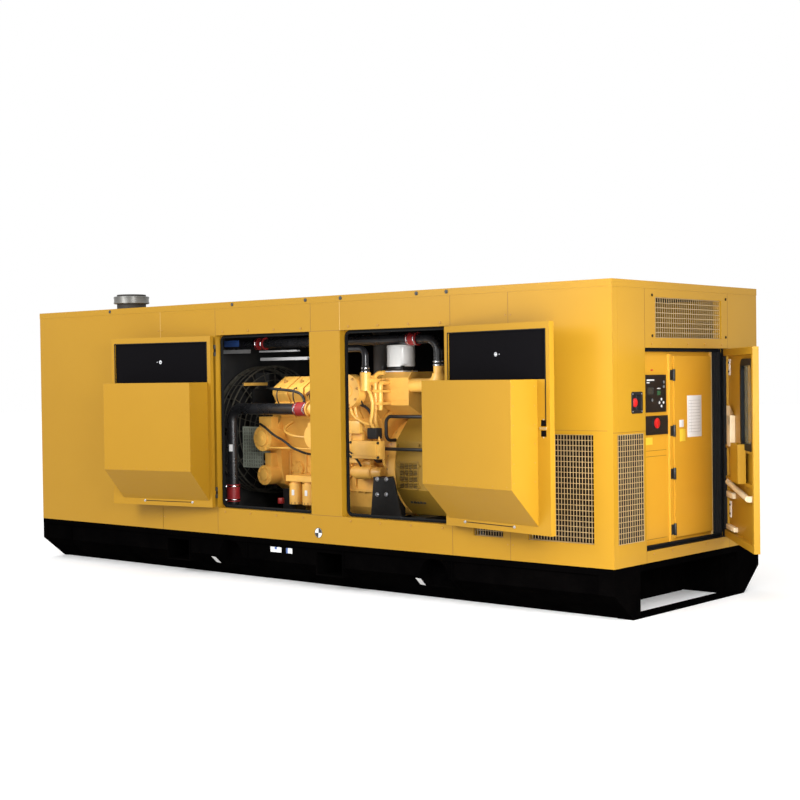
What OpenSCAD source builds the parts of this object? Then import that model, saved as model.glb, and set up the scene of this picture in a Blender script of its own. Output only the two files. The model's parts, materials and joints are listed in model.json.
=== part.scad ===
// Silent generator set: an acoustic enclosure on a fuel-tank base, with its engine, alternator and radiator.
// X runs along the set with the control end at +X, the two engine doors face -Y, and Z is up from the ground.

/* [Enclosure] */
// Length of the enclosure and of the base under it
length = 6900; // [6600:50:7200]
// Width over the walls
width = 2200; // [2160:10:2260]
// Height of the roof above the ground
height = 2500; // [2450:10:2600]
// Thickness of the folded, foam-filled wall panels
wall_t = 70; // [60:5:90]
// Depth of the roof lid's turned-down edge
roof_edge = 55; // [50:5:70]

/* [Base] */
// Height of the tank base
base_h = 400; // [380:5:420]
// Height at which the base's sides turn inwards
base_turn = 205; // [180:5:230]
// Distance that the lower sides run inwards before they reach the ground
base_taper = 255; // [200:5:300]
// Plate thickness of the base
base_plate = 12; // [8:1:16]
// Depth of the lip along the top edge of the base
base_lip = 50; // [40:5:60]
// Depth of the open bay under the control end
bay_d = 481; // [440:1:520]

/* [Engine doors] */
// Width of each doorway
door_w = 1190; // [1150:10:1200]
// Height of each doorway
door_h = 1566; // [1500:2:1580]
// Height of the doorways' lower edge above the ground
door_z = 639; // [620:1:660]
// Left edge of the left doorway
left_door_x = -783; // [-800:1:-760]
// Left edge of the right doorway
right_door_x = 765; // [740:1:790]
// Angle at which the left door stands open
left_open = 170; // [150:1:172]
// Angle at which the right door stands open
right_open = 169; // [150:1:172]
// Thickness of a door panel
door_t = 45; // [40:1:48]
// Depth of the acoustic baffle behind a door
baffle_d = 262; // [220:2:270]

/* [Control end] */
// Width of the end doorway
end_w = 1262; // [1230:2:1280]
// Height of the end doorway
end_h = 1515; // [1480:5:1530]
// Height of the end doorway's lower edge above the ground
end_z = 488; // [480:2:500]
// Y position of the end door's hinge edge
end_hinge_y = 606; // [590:2:620]
// Angle at which the end door stands open
end_open = 38.4; // [20:0.2:60]

/* [Machine] */
// Height of the crankshaft above the floor of the enclosure
crank_up = 600; // [580:5:620]
// Angle of each cylinder bank from the vertical
bank_angle = 32; // [30:1:35]
// Distance from one cylinder to the next along a bank
head_pitch = 208; // [200:1:212]
// Diameter of the large coolant pipe
pipe_d = 104; // [90:2:110]
// Diameter of the exhaust stub
stub_d = 300; // [260:5:320]

/* [Hidden] */
$fn = 48;
hl = length / 2;
hw = width / 2;
wall_top = height - roof_edge;
seat = 0.3;
sheet = 4;

// Doors, hinges and seals
door_gap = 6;
pin_out = 12;
pin_r = 6;
pin_play = 0.06;
knuckle_r = 11;
hinge_h = 96;
hinge_in = 90;
leaf_w = 56;
flange = 26;
flange_t = 10;
flange_r = 30;
seal_w = 13;
seal_t = 9;
right_hinge_x = right_door_x + door_w;
inner_y = -hw + wall_t;
end_low = end_hinge_y - end_w;

// Baffle box on an engine door, from its hinge edge
baffle_u = 40;
baffle_w = door_w - 175;
baffle_low = 66;
baffle_turn = 346;
baffle_top = door_h - 425;

// Grilles
grille_z = 569;
grille_h = 801;
grille_in = 16;
mesh_pitch = 58;
mesh_bar = 14;
small_grille_x = 2164;
small_grille_w = 287;
large_grille_x = 2686;
large_grille_w = 594;
end_grille_y = -1015;
end_grille_w = 286;
top_grille_w = 1010;
top_grille_h = 305;
top_grille_z = height - 117 - top_grille_h;

// Roof discharge and exhaust
vent_x = -hl + 200;
vent_l = 1250;
vent_y = -100;
vent_w = 1000;
stub_x = -2966;
stub_y = -300;
stub_top = height + 195;
clamp_h = 76;
clamp_t = 30;
silencer_r = 300;
silencer_l = 1150;
silencer_z = height - 700;

// Control cabinet behind the end doorway
cab_front = hl - 142;
cab_d = 450;
cab_low = -600;
cab_high = 604;
cab_top = 1990;
cab_door_y = -32;
cab_door_w = 576;
cab_door_t = 20;
cab_door_z = 528;
cab_door_h = 1417;
stop_y = -776;
stop_z = 1598;
stop_w = 154;
stop_h = 160;
stop_in = 40;
stop_pocket_w = stop_w - 36;
stop_pocket_h = stop_h - 40;

// Machine
floor_z = base_h + 6;
crank_z = base_h + crank_up;
block_x0 = -620;
block_l = 1270;
block_x1 = block_x0 + block_l;
block_hw = 330;
deck_up = 610;
deck_hw = 155;
head_l = 194;
head_hw = 150;
head_h = 165;
cover_h = 133;
sump_hw = 300;
sump_bottom = 560;
gear_t = 142;
fly_r = 455;
alt_x0 = block_x1 + 140 + seat;
alt_l = 1180;
alt_hw = 470;
alt_top = 1440;
alt_low = 600;
cooler_x0 = block_x1 + seat;
cooler_l = 310;
cooler_hw = 450;
cooler_top = 1850;
filter_r = 124;
filter_h = 187;
pipe_y = -700;
pipe_x = -1010;
pipe_z = 1528;
pipe_bend = 118;
pipe_low = floor_z + 130;
pump_x = 100;
charge_r = 45;
charge_y = -400;
charge_z = 2135;
charge_end = 1263;
turbo_x = 456;
vent_pipe_x = 632;
vent_pipe_y = -640;
exhaust_y = stub_y + 110;
exhaust_low = crank_z + 830;
rad_x = -1640;
rad_t = 240;
rad_hw = 880;
rad_top = 2200;
fan_z = 1305;
fan_r = 620;
fan_x = -1350;
fan_d = 200;

yellow = [0.87, 0.60, 0.13];
engine_yellow = [0.84, 0.58, 0.15];
black = [0.05, 0.05, 0.06];
steel = [0.75, 0.76, 0.78];
red = [0.60, 0.05, 0.05];

base_front_rail();
base_rear_rail();
base_near_frame();
base_far_frame();
fuel_tank();
floor_plate();
front_wall_left();
front_pillar();
front_wall_right();
front_header();
front_sill();
near_wall_left();
near_wall_right();
near_header();
near_sill();
far_wall();
rear_wall();
rear_doors();
roof();
wall_lining();
door_frames();
door_seals();
door_hinges();
side_grilles();
near_grilles();
roof_grille();
left_door_panel();
left_door_baffle();
left_door_foam();
left_door_latch();
right_door_panel();
right_door_baffle();
right_door_foam();
right_door_latch();
end_door_panel();
end_door_window();
cabinet();
cabinet_door();
control_panels();
stop_box();
engine_block();
cylinder_heads();
gear_case();
flywheel_housing();
turbo_and_aftercooler();
air_filter();
oil_filters();
coolant_pump();
coolant_pipes();
pipe_couplings();
alternator();
machine_mounts();
radiator();
fan();
fan_guard();
belt_guard();
cables();
silencer();
exhaust_clamp();

// A block between two corners.
module block(a, b) {
    translate(a) cube(b - a);
}

// The same block on both sides of the set.
module block_pair(a, b) {
    block(a, b);
    mirror([0, 1, 0]) block(a, b);
}

// A profile drawn in the YZ plane, thick along X from x.
module slab_x(x, t) {
    translate([x, 0, 0]) rotate([90, 0, 90]) linear_extrude(t) children();
}

// A tube along +X from a point.
module tube_x(p, r, l) {
    translate(p) rotate([0, 90, 0]) cylinder(h = l, r = r);
}

// A tube along +Y from a point.
module tube_y(p, r, l) {
    translate(p) rotate([-90, 0, 0]) cylinder(h = l, r = r);
}

// A rectangle with rounded corners, made of two bars and four discs.
module rounded_rect(x0, x1, y0, y1, r) {
    translate([x0 + r, y0]) square([x1 - x0 - 2 * r, y1 - y0]);
    translate([x0, y0 + r]) square([x1 - x0, y1 - y0 - 2 * r]);
    for (x = [x0 + r, x1 - r], y = [y0 + r, y1 - r])
        translate([x, y]) circle(r);
}

// Turns a piece drawn in the XZ plane, its outer face towards -Y, to face +X at the control end.
module face_near() {
    translate([hl, 0, 0]) rotate([0, 0, 90]) children();
}

// ---- Base ----

fork_w = 320;
fork_h = 130;
fork_z = 205;
fork_depth = 330;
lift_r = 150;
web_in = 16;

// Middle of each fork pocket and of each round lifting recess, along the rail.
fork_xs = [-1360, 590];
lift_xs = [-640, 1740];
rib_xs = [
    -2994, fork_xs[0] + fork_w / 2 + 8, lift_xs[0] + 220, fork_xs[1] + fork_w / 2 + 8, lift_xs[1] + 190
];

// Skirt of the rail: lip, recessed web, sloping plate and foot.
module rail_profile() {
    polygon([
        [-hw, base_h - seat],
        [-hw, base_h - base_lip],
        [-hw + web_in, base_h - base_lip],
        [-hw + web_in, base_turn],
        [-hw + web_in + base_taper, 0],
        [-hw + web_in + base_taper + 120, 0],
        [-hw + web_in + base_taper + 120, base_plate],
        [-hw + web_in + base_taper + 6, base_plate],
        [-hw + web_in + base_plate, base_turn + 4],
        [-hw + web_in + base_plate, base_h - base_plate],
        [-hw + 150, base_h - base_plate],
        [-hw + 150, base_h - seat]
    ]);
}

// A plate rib that stands out from the web to the line of the lip.
module rail_rib(x) {
    slab_x(x, base_plate) polygon([
        [-hw + 1, base_h - base_lip],
        [-hw + 1, base_turn],
        [-hw + base_taper, 2],
        [-hw + base_taper + 20, 2],
        [-hw + 20, base_turn],
        [-hw + 20, base_h - base_lip]
    ]);
}

// Fork pocket: a plate tube that runs in from the web.
module fork_pocket(x) {
    y0 = -hw + web_in + 1;
    difference() {
        block([x - fork_w / 2, y0, fork_z - fork_h / 2 - 20],
            [x + fork_w / 2, y0 + fork_depth, fork_z + fork_h - 5]);
        fork_hole(x);
    }
}

module fork_hole(x) {
    block([x - fork_w / 2 + base_plate, -hw - 1, fork_z - fork_h / 2 - 20 + base_plate],
        [x + fork_w / 2 - base_plate, -hw + fork_depth + 40, fork_z + fork_h - 5 - base_plate]);
}

// Round lifting recess with its back plate.
module lift_recess(x) {
    difference() {
        tube_y([x, -hw + web_in + 1, base_turn], lift_r + base_plate, 140);
        tube_y([x, -hw, base_turn], lift_r, 140);
    }
}

module side_rail() {
    difference() {
        union() {
            slab_x(-hl + 60, length - 200) rail_profile();
            for (x = fork_xs)
                fork_pocket(x);
            for (x = lift_xs)
                intersection() {
                    lift_recess(x);
                    slab_x(x - 200, 400) polygon([
                        [-hw, base_h - base_lip],
                        [-hw + web_in, base_turn],
                        [-hw + web_in + base_taper - 2, 3],
                        [-hw + web_in + base_taper + 60, base_h - base_lip]
                    ]);
                }
        }
        for (x = fork_xs)
            fork_hole(x);
        for (x = lift_xs)
            tube_y([x, -hw - 1, base_turn], lift_r, 130);
    }
    for (x = rib_xs)
        rail_rib(x);
}

module base_front_rail() {
    color(black) side_rail();
}

module base_rear_rail() {
    color(black) mirror([0, 1, 0]) side_rail();
}

// Outline of the base seen from its end, with the taper on both lower corners.
module base_outline() {
    polygon([
        [-hw, base_h - seat],
        [-hw, base_turn],
        [-hw + base_taper, 0],
        [hw - base_taper, 0],
        [hw, base_turn],
        [hw, base_h - seat]
    ]);
}

// Near end: two corner posts, a top beam, a foot plate on the ground and the open bay's inner plates.
module base_near_frame() {
    post = 140;
    half = hw - 350;
    side = half - 50;
    color(black) {
        difference() {
            slab_x(hl - post + seat, post - seat) base_outline();
            block([hl - post - 1, -half, base_plate], [hl + 1, half, base_h - base_lip]);
        }
        block([hl - bay_d, -side, base_plate], [hl - bay_d + base_plate, side, base_h - seat]);
        block_pair([hl - bay_d, -side - base_plate, base_plate], [hl - post + 20, -side, base_h - base_lip]);
        for (s = [-1, 1])
            block([hl - post - 2, min(s * half, s * side) - 1, base_plate],
                [hl - post + 20, max(s * half, s * side) + 1, base_h - base_lip]);
    }
}

// Far end: a closed end plate that follows the same outline.
module base_far_frame() {
    color(black) slab_x(-hl, 60 - seat) base_outline();
}

// The tank between the rails, an open shell with its filler hole in the top.
module fuel_tank() {
    tank_hw = hw - 420;
    x0 = -hl + 60;
    x1 = hl - bay_d - seat;
    color(black) difference() {
        block([x0, -tank_hw, 0], [x1, tank_hw, base_h - seat]);
        block([x0 + base_plate, -tank_hw + base_plate, base_plate],
            [x1 - base_plate, tank_hw - base_plate, base_h - base_plate]);
        translate([-2400, 400, base_h - 60]) cylinder(h = 80, r = 40);
    }
}

module floor_plate() {
    color(black) difference() {
        block([-hl + wall_t + 1, inner_y + 1, base_h], [hl - wall_t - 1, -inner_y - 1, floor_z]);
        translate([-2400, 400, base_h - 1]) cylinder(h = 10, r = 45);
    }
}

// ---- Enclosure ----

// One piece of the front wall between two X positions and two heights.
module front_piece(x0, x1, z0, z1) {
    block([x0, -hw, z0], [x1 - seat, inner_y, z1 - seat]);
}

// Cuts that the grilles of a long side stand in.
module side_grille_holes(y) {
    top = grille_z + grille_h;
    block([large_grille_x, y - 1, grille_z], [large_grille_x + large_grille_w, y + wall_t + 1, top]);
    block([small_grille_x, y - 1, grille_z], [small_grille_x + small_grille_w, y + wall_t + 1, top]);
}

module front_wall_left() {
    color(yellow) front_piece(-hl, left_door_x, base_h, wall_top);
}

module front_pillar() {
    color(yellow) front_piece(left_door_x + door_w, right_door_x, door_z, door_z + door_h);
}

module front_wall_right() {
    color(yellow) difference() {
        front_piece(right_hinge_x, hl, base_h, wall_top);
        side_grille_holes(-hw);
    }
}

module front_header() {
    color(yellow) front_piece(left_door_x, right_hinge_x, door_z + door_h, wall_top);
}

module front_sill() {
    color(yellow) front_piece(left_door_x, right_hinge_x, base_h, door_z);
}

module near_piece(y0, y1, z0, z1) {
    block([hl - wall_t, y0, z0], [hl, y1 - seat, z1 - seat]);
}

module near_wall_left() {
    color(yellow) difference() {
        near_piece(inner_y + seat, end_low, base_h, wall_top);
        block([hl - wall_t - 1, end_grille_y, grille_z],
            [hl + 1, end_grille_y + end_grille_w, grille_z + grille_h]);
        translate([hl, stop_y, stop_z])
            block([-stop_in - seat, -stop_pocket_w / 2 - seat, -stop_pocket_h / 2 - seat],
                [1, stop_pocket_w / 2 + seat, stop_pocket_h / 2 + seat]);
    }
}

module near_wall_right() {
    color(yellow) near_piece(end_hinge_y, -inner_y, base_h, wall_top);
}

module near_header() {
    color(yellow) difference() {
        near_piece(end_low, end_hinge_y, end_z + end_h, wall_top);
        block([hl - wall_t - 1, -top_grille_w / 2, top_grille_z],
            [hl + 1, top_grille_w / 2, top_grille_z + top_grille_h]);
    }
}

module near_sill() {
    color(yellow) near_piece(end_low, end_hinge_y, base_h, end_z);
}

module far_wall() {
    color(yellow) block([-hl, inner_y + seat, base_h], [-hl + wall_t, -inner_y - seat, wall_top - seat]);
}

// The rear wall has the same doorways and grilles as the front.
module rear_wall() {
    color(yellow) difference() {
        block([-hl, -inner_y, base_h], [hl, hw, wall_top - seat]);
        for (x = [left_door_x, right_door_x])
            block([x, -inner_y - 1, door_z], [x + door_w, hw + 1, door_z + door_h]);
        side_grille_holes(-inner_y);
    }
}

// The rear doors stay shut: a pan each, with a flange that laps the wall inside and two hinges outside.
module rear_doors() {
    color(yellow) for (x = [left_door_x, right_door_x]) {
        block([x + door_gap, hw - door_t, door_z + door_gap],
            [x + door_w - door_gap, hw, door_z + door_h - door_gap]);
        block([x + seat, -inner_y, door_z + seat],
            [x + door_w - seat, hw - door_t + 0.1, door_z + door_h - seat]);
    }
}

module roof() {
    color(yellow) difference() {
        block([-hl - 2, -hw - 2, wall_top], [hl + 2, hw + 2, height]);
        block([vent_x, vent_y, wall_top - 1], [vent_x + vent_l, vent_y + vent_w, height + 1]);
        translate([stub_x, stub_y, wall_top - 1]) cylinder(h = roof_edge + 2, r = stub_d / 2 + seat);
    }
}

// Black acoustic lining behind the wall panels, stopped short of the doorways and grilles.
module wall_lining() {
    y0 = inner_y + seat;
    t = 30;
    x0 = -hl + wall_t + seat;
    low = floor_z + seat;
    top = wall_top - 1;
    color(black) {
        block([x0, y0, low], [left_door_x - 60, y0 + t, top]);
        block([left_door_x + door_w + 60, y0, low], [right_door_x - 60, y0 + t, top]);
        block([right_hinge_x + 60, y0, grille_z + grille_h + 30], [hl - wall_t - seat, y0 + t, top]);
        block([x0, -y0 - t, low], [small_grille_x - 60, -y0, top]);
        block([x0, y0 + t + 1, low], [x0 + t, -y0 - t - 1, top]);
        difference() {
            block([x0 + t + 1, y0 + t + 1, top - t], [hl - wall_t - seat, -y0 - t - 1, top]);
            block([vent_x - 1, vent_y, top - t - 1], [vent_x + vent_l + 1, vent_y + vent_w, top + 1]);
            translate([stub_x, stub_y, top - t - 1]) cylinder(h = t + 2, r = stub_d / 2 + 10);
        }
    }
}

// A flat ring round a doorway, drawn from the doorway's lower corner, with rounded inner corners.
module frame_ring(w, h) {
    translate([seat, 0, seat]) rotate([90, 0, 0]) linear_extrude(flange_t) difference() {
        square([w - 3 * seat, h - 3 * seat]);
        rounded_rect(flange, w - flange, flange, h - flange, flange_r);
    }
}

module door_frames() {
    color(yellow) {
        for (x = [left_door_x, right_door_x])
            translate([x, inner_y, door_z]) frame_ring(door_w, door_h);
        face_near() translate([end_low, wall_t, end_z]) frame_ring(end_w, end_h);
    }
}

// The rubber seal that lies on a doorway's flange.
module seal_ring(w, h) {
    r = flange_r + seal_w;
    translate([0, -flange_t - seat, 0]) rotate([90, 0, 0]) linear_extrude(seal_t) difference() {
        rounded_rect(flange - seal_w, w - flange + seal_w, flange - seal_w, h - flange + seal_w, r);
        rounded_rect(flange, w - flange, flange, h - flange, flange_r);
    }
}

module door_seals() {
    color(black) {
        for (x = [left_door_x, right_door_x])
            translate([x, inner_y, door_z]) seal_ring(door_w, door_h);
        face_near() translate([end_low, wall_t, end_z]) seal_ring(end_w, end_h);
    }
}

// The fixed half of a hinge, drawn for a door that lies along +X: leaf, two knuckles and the pin.
module wall_hinge() {
    k = hinge_h / 3;
    for (z = [0, 2 * k])
        translate([0, 0, z]) {
            cylinder(h = k, r = knuckle_r);
            block([-16, 3, 0], [0, pin_out - seat, k]);
        }
    block([-leaf_w, pin_out - 4, 0], [-14, pin_out - seat, hinge_h]);
    translate([0, 0, -4]) cylinder(h = hinge_h + 8, r = pin_r);
}

// The moving half: one knuckle with its bore, and a leaf on the door's outer face.
module door_hinge() {
    k = hinge_h / 3;
    difference() {
        union() {
            translate([0, 0, k + 1]) cylinder(h = k - 2, r = knuckle_r);
            block([0, 3, k + 1], [20, pin_out + 1, 2 * k - 1]);
            block([18, pin_out - 4, 0], [leaf_w, pin_out + 1, hinge_h]);
        }
        cylinder(h = hinge_h, r = pin_r + pin_play);
    }
}

module door_hinges() {
    color(black) {
        for (z = [door_z + hinge_in, door_z + door_h - hinge_in - hinge_h]) {
            translate([left_door_x, -hw - pin_out, z]) wall_hinge();
            translate([right_hinge_x, -hw - pin_out, z]) mirror([1, 0, 0]) wall_hinge();
        }
        for (z = [end_z + hinge_in, end_z + end_h - hinge_in - hinge_h])
            face_near() translate([end_hinge_y, -pin_out, z]) mirror([1, 0, 0]) wall_hinge();
    }
}

// ---- Grilles ----

// A woven square-mesh grille in its own frame, drawn from its lower corner in the XZ plane.
module mesh(w, h, t) {
    nx = round(w / mesh_pitch);
    nz = round(h / mesh_pitch);
    px = (w - mesh_bar) / nx;
    pz = (h - mesh_bar) / nz;
    rotate([90, 0, 0]) linear_extrude(t) difference() {
        square([w, h]);
        for (i = [0 : nx - 1], j = [0 : nz - 1])
            translate([i * px + mesh_bar, j * pz + mesh_bar]) square([px - mesh_bar, pz - mesh_bar]);
    }
}

// A grille seated in the edge of its cut-out.
module wall_mesh(x, z, w, h) {
    translate([x + seat, grille_in + sheet, z + seat]) mesh(w - 2 * seat, h - 2 * seat, sheet);
}

module side_grilles() {
    color(yellow) for (m = [0, 1])
        mirror([0, m, 0]) translate([0, -hw, 0]) {
            wall_mesh(large_grille_x, grille_z, large_grille_w, grille_h);
            wall_mesh(small_grille_x, grille_z, small_grille_w, grille_h);
        }
}

module near_grilles() {
    color(yellow) face_near() {
        wall_mesh(end_grille_y, grille_z, end_grille_w, grille_h);
        wall_mesh(-top_grille_w / 2, top_grille_z, top_grille_w, top_grille_h);
    }
}

module roof_grille() {
    color(black) translate([vent_x + seat, vent_y + seat, height - 20]) rotate([-90, 0, 0])
        mesh(vent_l - 2 * seat, vent_w - 2 * seat, sheet);
}

// ---- Doors ----

// Puts a door drawn shut along +X from its hinge pin at the left doorway, in its open pose.
module at_left_door() {
    translate([left_door_x, -hw - pin_out, door_z]) rotate([0, 0, -left_open]) children();
}

// The same at the right doorway, whose door hangs from its right edge.
module at_right_door() {
    translate([right_hinge_x, -hw - pin_out, door_z]) rotate([0, 0, right_open]) mirror([1, 0, 0]) children();
}

// The same at the control end.
module at_end_door() {
    translate([hl + pin_out, end_hinge_y, end_z]) rotate([0, 0, 90 + end_open]) mirror([1, 0, 0]) children();
}

door_in = pin_out + door_t;
foam_low = 70;
foam_top = 60;
foam_side = 50;
latch_w = 77;
latch_h = 140;
latch_u = door_w - foam_side - 61;
latch_z = 715;

// The folded pan of an engine door, with the recess for the foam on its inner face.
module door_panel() {
    difference() {
        union() {
            difference() {
                block([door_gap, pin_out, door_gap], [door_w - door_gap, door_in, door_h - door_gap]);
                block([foam_side, pin_out + sheet, foam_low],
                    [door_w - foam_side, door_in + 1, door_h - foam_top]);
            }
            block([baffle_u + baffle_w - 6, door_in - sheet, foam_low - 0.1],
                [door_w - foam_side + 0.1, door_in, baffle_top]);
        }
        block([latch_u - seat, door_in - sheet - seat, latch_z - seat],
            [latch_u + latch_w + seat, door_in + 1, latch_z + latch_h + seat]);
    }
    for (z = [hinge_in, door_h - hinge_in - hinge_h])
        translate([0, 0, z]) door_hinge();
}

// The baffle's side profile, thick along the door's width. The inner one cuts through the top and the
// door's side.
module baffle_prism(u0, u1, inset, cut) {
    translate([u0, 0, 0]) rotate([90, 0, 90]) linear_extrude(u1 - u0) polygon([
        [-cut, baffle_low + 1.5 * inset],
        [baffle_d - inset, baffle_turn + inset / 2],
        [baffle_d - inset, baffle_top + cut],
        [-cut, baffle_top + cut]
    ]);
}

// The acoustic baffle: a sheet box with a sloping bottom, open at the top and towards the foam.
module door_baffle() {
    translate([baffle_u, door_in + seat, 0]) difference() {
        baffle_prism(0, baffle_w, 0, 0);
        baffle_prism(sheet, baffle_w - sheet, sheet, 1);
    }
}

module door_foam() {
    block([foam_side + seat, pin_out + sheet + seat, foam_low + seat],
        [door_w - foam_side - seat, door_in - 12, door_h - foam_top - seat]);
}

// The latch plate let into the strip beside the baffle, with its two slots and the keeper bar between
// them. The bar passes inside the doorway's seal.
module door_latch() {
    difference() {
        block([latch_u, door_in - sheet, latch_z], [latch_u + latch_w, door_in, latch_z + latch_h]);
        for (z = [latch_z + 10, latch_z + 85])
            block([latch_u + 7, door_in - sheet - 1, z], [latch_u + latch_w - 7, door_in + 1, z + 45]);
    }
    block([latch_u + 2, door_in - 0.1, latch_z + 62], [latch_u + latch_w - 2, door_in + 8, latch_z + 78]);
}

module left_door_panel() {
    color(yellow) at_left_door() door_panel();
}

module left_door_baffle() {
    color(yellow) at_left_door() door_baffle();
}

module left_door_foam() {
    color(black) at_left_door() door_foam();
}

module left_door_latch() {
    color(steel) at_left_door() door_latch();
}

module right_door_panel() {
    color(yellow) at_right_door() door_panel();
}

module right_door_baffle() {
    color(yellow) at_right_door() door_baffle();
}

module right_door_foam() {
    color(black) at_right_door() door_foam();
}

module right_door_latch() {
    color(steel) at_right_door() door_latch();
}

end_skin = 5;
window_u = 770;
window_w = 400;
window_z = 765;
window_h = 630;
window_r = 60;
window_edge = 18;
pocket_u = 600;
pocket_w = 290;
pocket_z = 490;
pocket_h = 295;

// The end door's pan, open towards its inner face, with a cut for the window, two stays and a document
// pocket on them.
module end_door_panel() {
    color(yellow) at_end_door() {
        difference() {
            block([door_gap, pin_out, door_gap], [end_w - door_gap, door_in, end_h - door_gap]);
            block([60, pin_out + end_skin, 60], [end_w - 60, door_in + 1, end_h - 60]);
            translate([0, pin_out + end_skin + 1, 0]) rotate([90, 0, 0]) linear_extrude(end_skin + 2)
                rounded_rect(window_u, window_u + window_w, window_z, window_z + window_h, window_r);
        }
        for (z = [hinge_in, end_h - hinge_in - hinge_h])
            translate([0, 0, z]) door_hinge();
        for (z = [pocket_z - 20, pocket_z + pocket_h - 65])
            block([59, pin_out + end_skin - 0.1, z], [end_w - 59, door_in - 14, z + 25]);
        difference() {
            block([pocket_u, door_in - 15, pocket_z],
                [pocket_u + pocket_w, door_in + 46, pocket_z + pocket_h]);
            block([pocket_u + 3, door_in - 12, pocket_z + 3],
                [pocket_u + pocket_w - 3, door_in + 43, pocket_z + pocket_h + 1]);
        }
    }
}

// Window pane with the thick rubber edge that holds it.
module end_door_window() {
    color([0.3, 0.35, 0.35]) at_end_door() translate([0, pin_out + end_skin + 8 + seat, 0]) rotate([90, 0, 0])
        linear_extrude(8) rounded_rect(window_u - window_edge, window_u + window_w + window_edge,
            window_z - window_edge + 14, window_z + window_h + window_edge, window_r + window_edge);
}

// ---- Controls ----

// The free-standing cabinet behind the end doorway, hollow behind its door.
module cabinet() {
    x0 = cab_front - cab_d;
    edge = 24;
    color(yellow) {
        difference() {
            block([x0, cab_low, floor_z + seat], [cab_front, cab_high, cab_top]);
            block([x0 + 60, cab_door_y + edge, cab_door_z + edge],
                [cab_front + 1, cab_door_y + cab_door_w - edge, cab_door_z + cab_door_h - edge]);
        }
        block([cab_front - 0.1, cab_door_y - 60, floor_z + 60],
            [cab_front + 14, cab_door_y - 11, cab_top - 30]);
        block([cab_front - 0.1, cab_door_y + cab_door_w + 8, cab_door_z],
            [cab_front + 14, cab_high, cab_top - 30]);
    }
}

// The cabinet's door, shut, with its four hinges on the left.
module cabinet_door() {
    color(yellow) {
        block([cab_front + seat, cab_door_y, cab_door_z],
            [cab_front + cab_door_t, cab_door_y + cab_door_w, cab_door_z + cab_door_h]);
        for (z = [558, 987, 1325, 1752])
            translate([cab_front + cab_door_t - 1, cab_door_y - 1, z]) cylinder(h = 80, r = 9);
    }
}

// The controller with its display recess, lamps and crosswise keys, and the breaker plate with its knob.
module control_panels() {
    x = cab_front + seat;
    key_y = -235;
    key_z = 1586;
    color(black) {
        difference() {
            block([x, -500, 1514], [x + 22, -155, 1800]);
            block([x + 18, -425, 1650], [x + 23, -345, 1705]);
        }
        for (k = [[key_y - 30, key_z], [key_y + 30, key_z], [key_y, key_z - 26], [key_y, key_z + 26]])
            tube_x([x + 21, k[0], k[1]], 12, 6);
        for (k = [[-197, 1709], [-197, 1743], [-368, 1607]])
            tube_x([x + 21, k[0], k[1]], 14, 6);
        block([x, -500, 1341], [x + 18, -125, 1486]);
        tube_x([x + 17, -309, 1430], 42, 14);
    }
}

// Emergency stop box let into the wall beside the end doorway, behind a plate with rounded corners. Its
// mushroom button stays inside the wall's face.
module stop_box() {
    wall = 4;
    color(black) translate([hl, stop_y, stop_z]) {
        difference() {
            union() {
                translate([seat, 0, 0]) rotate([90, 0, 90]) linear_extrude(5)
                    rounded_rect(-stop_w / 2, stop_w / 2, -stop_h / 2, stop_h / 2, 16);
                block([-stop_in, -stop_pocket_w / 2, -stop_pocket_h / 2],
                    [seat + 0.1, stop_pocket_w / 2, stop_pocket_h / 2]);
            }
            block([-stop_in + wall, -stop_pocket_w / 2 + wall, -stop_pocket_h / 2 + wall],
                [10, stop_pocket_w / 2 - wall, stop_pocket_h / 2 - wall]);
        }
        tube_x([wall - stop_in - 0.1, 0, 0], 22, 8);
        tube_x([wall - stop_in + 7, 0, 0], 36, 12);
    }
}

// ---- Machine ----

// A straight tube along +Z, with what follows it as its child.
module run(r, l) {
    cylinder(h = l, r = r);
    translate([0, 0, l]) children();
}

// A bend that starts along +Z and turns towards +X, with what follows it as its child.
module elbow(r, bend, angle) {
    translate([bend, 0, 0]) rotate([90, 0, 0]) rotate([0, 0, 180 - angle])
        rotate_extrude(angle = angle) translate([bend, 0]) circle(r);
    translate([bend - bend * cos(angle), 0, bend * sin(angle)]) rotate([0, angle, 0]) children();
}

// Crankcase with the V of its two decks, round covers on its sides, and the sump under it.
module engine_block() {
    s = sin(bank_angle);
    c = cos(bank_angle);
    outer = [deck_up * s + deck_hw * c, crank_z + deck_up * c - deck_hw * s];
    inner = [deck_up * s - deck_hw * c, crank_z + deck_up * c + deck_hw * s];
    split = crank_z - 200;
    color(engine_yellow) {
        slab_x(block_x0, block_l) polygon([
            [-block_hw, split], [-block_hw, crank_z + 120], [-outer[0], outer[1]], [-inner[0], inner[1]],
            [0, crank_z + deck_up * c - 60],
            [inner[0], inner[1]], [outer[0], outer[1]], [block_hw, crank_z + 120], [block_hw, split]
        ]);
        for (m = [0, 1])
            mirror([0, m, 0]) for (i = [0 : 5])
                tube_y([block_x0 + 110 + i * head_pitch, -block_hw - 22, crank_z - 40], 74, 24);
        block([block_x0 + 20, -block_hw - 15, split - 20], [block_x1 - 20, block_hw + 15, split + 0.1]);
        slab_x(block_x0 + 40, block_l - 80) polygon([
            [-sump_hw - 20, split - 19], [sump_hw + 20, split - 19], [sump_hw, sump_bottom + 80],
            [sump_hw - 70, sump_bottom], [70 - sump_hw, sump_bottom], [-sump_hw, sump_bottom + 80]
        ]);
    }
}

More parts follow.
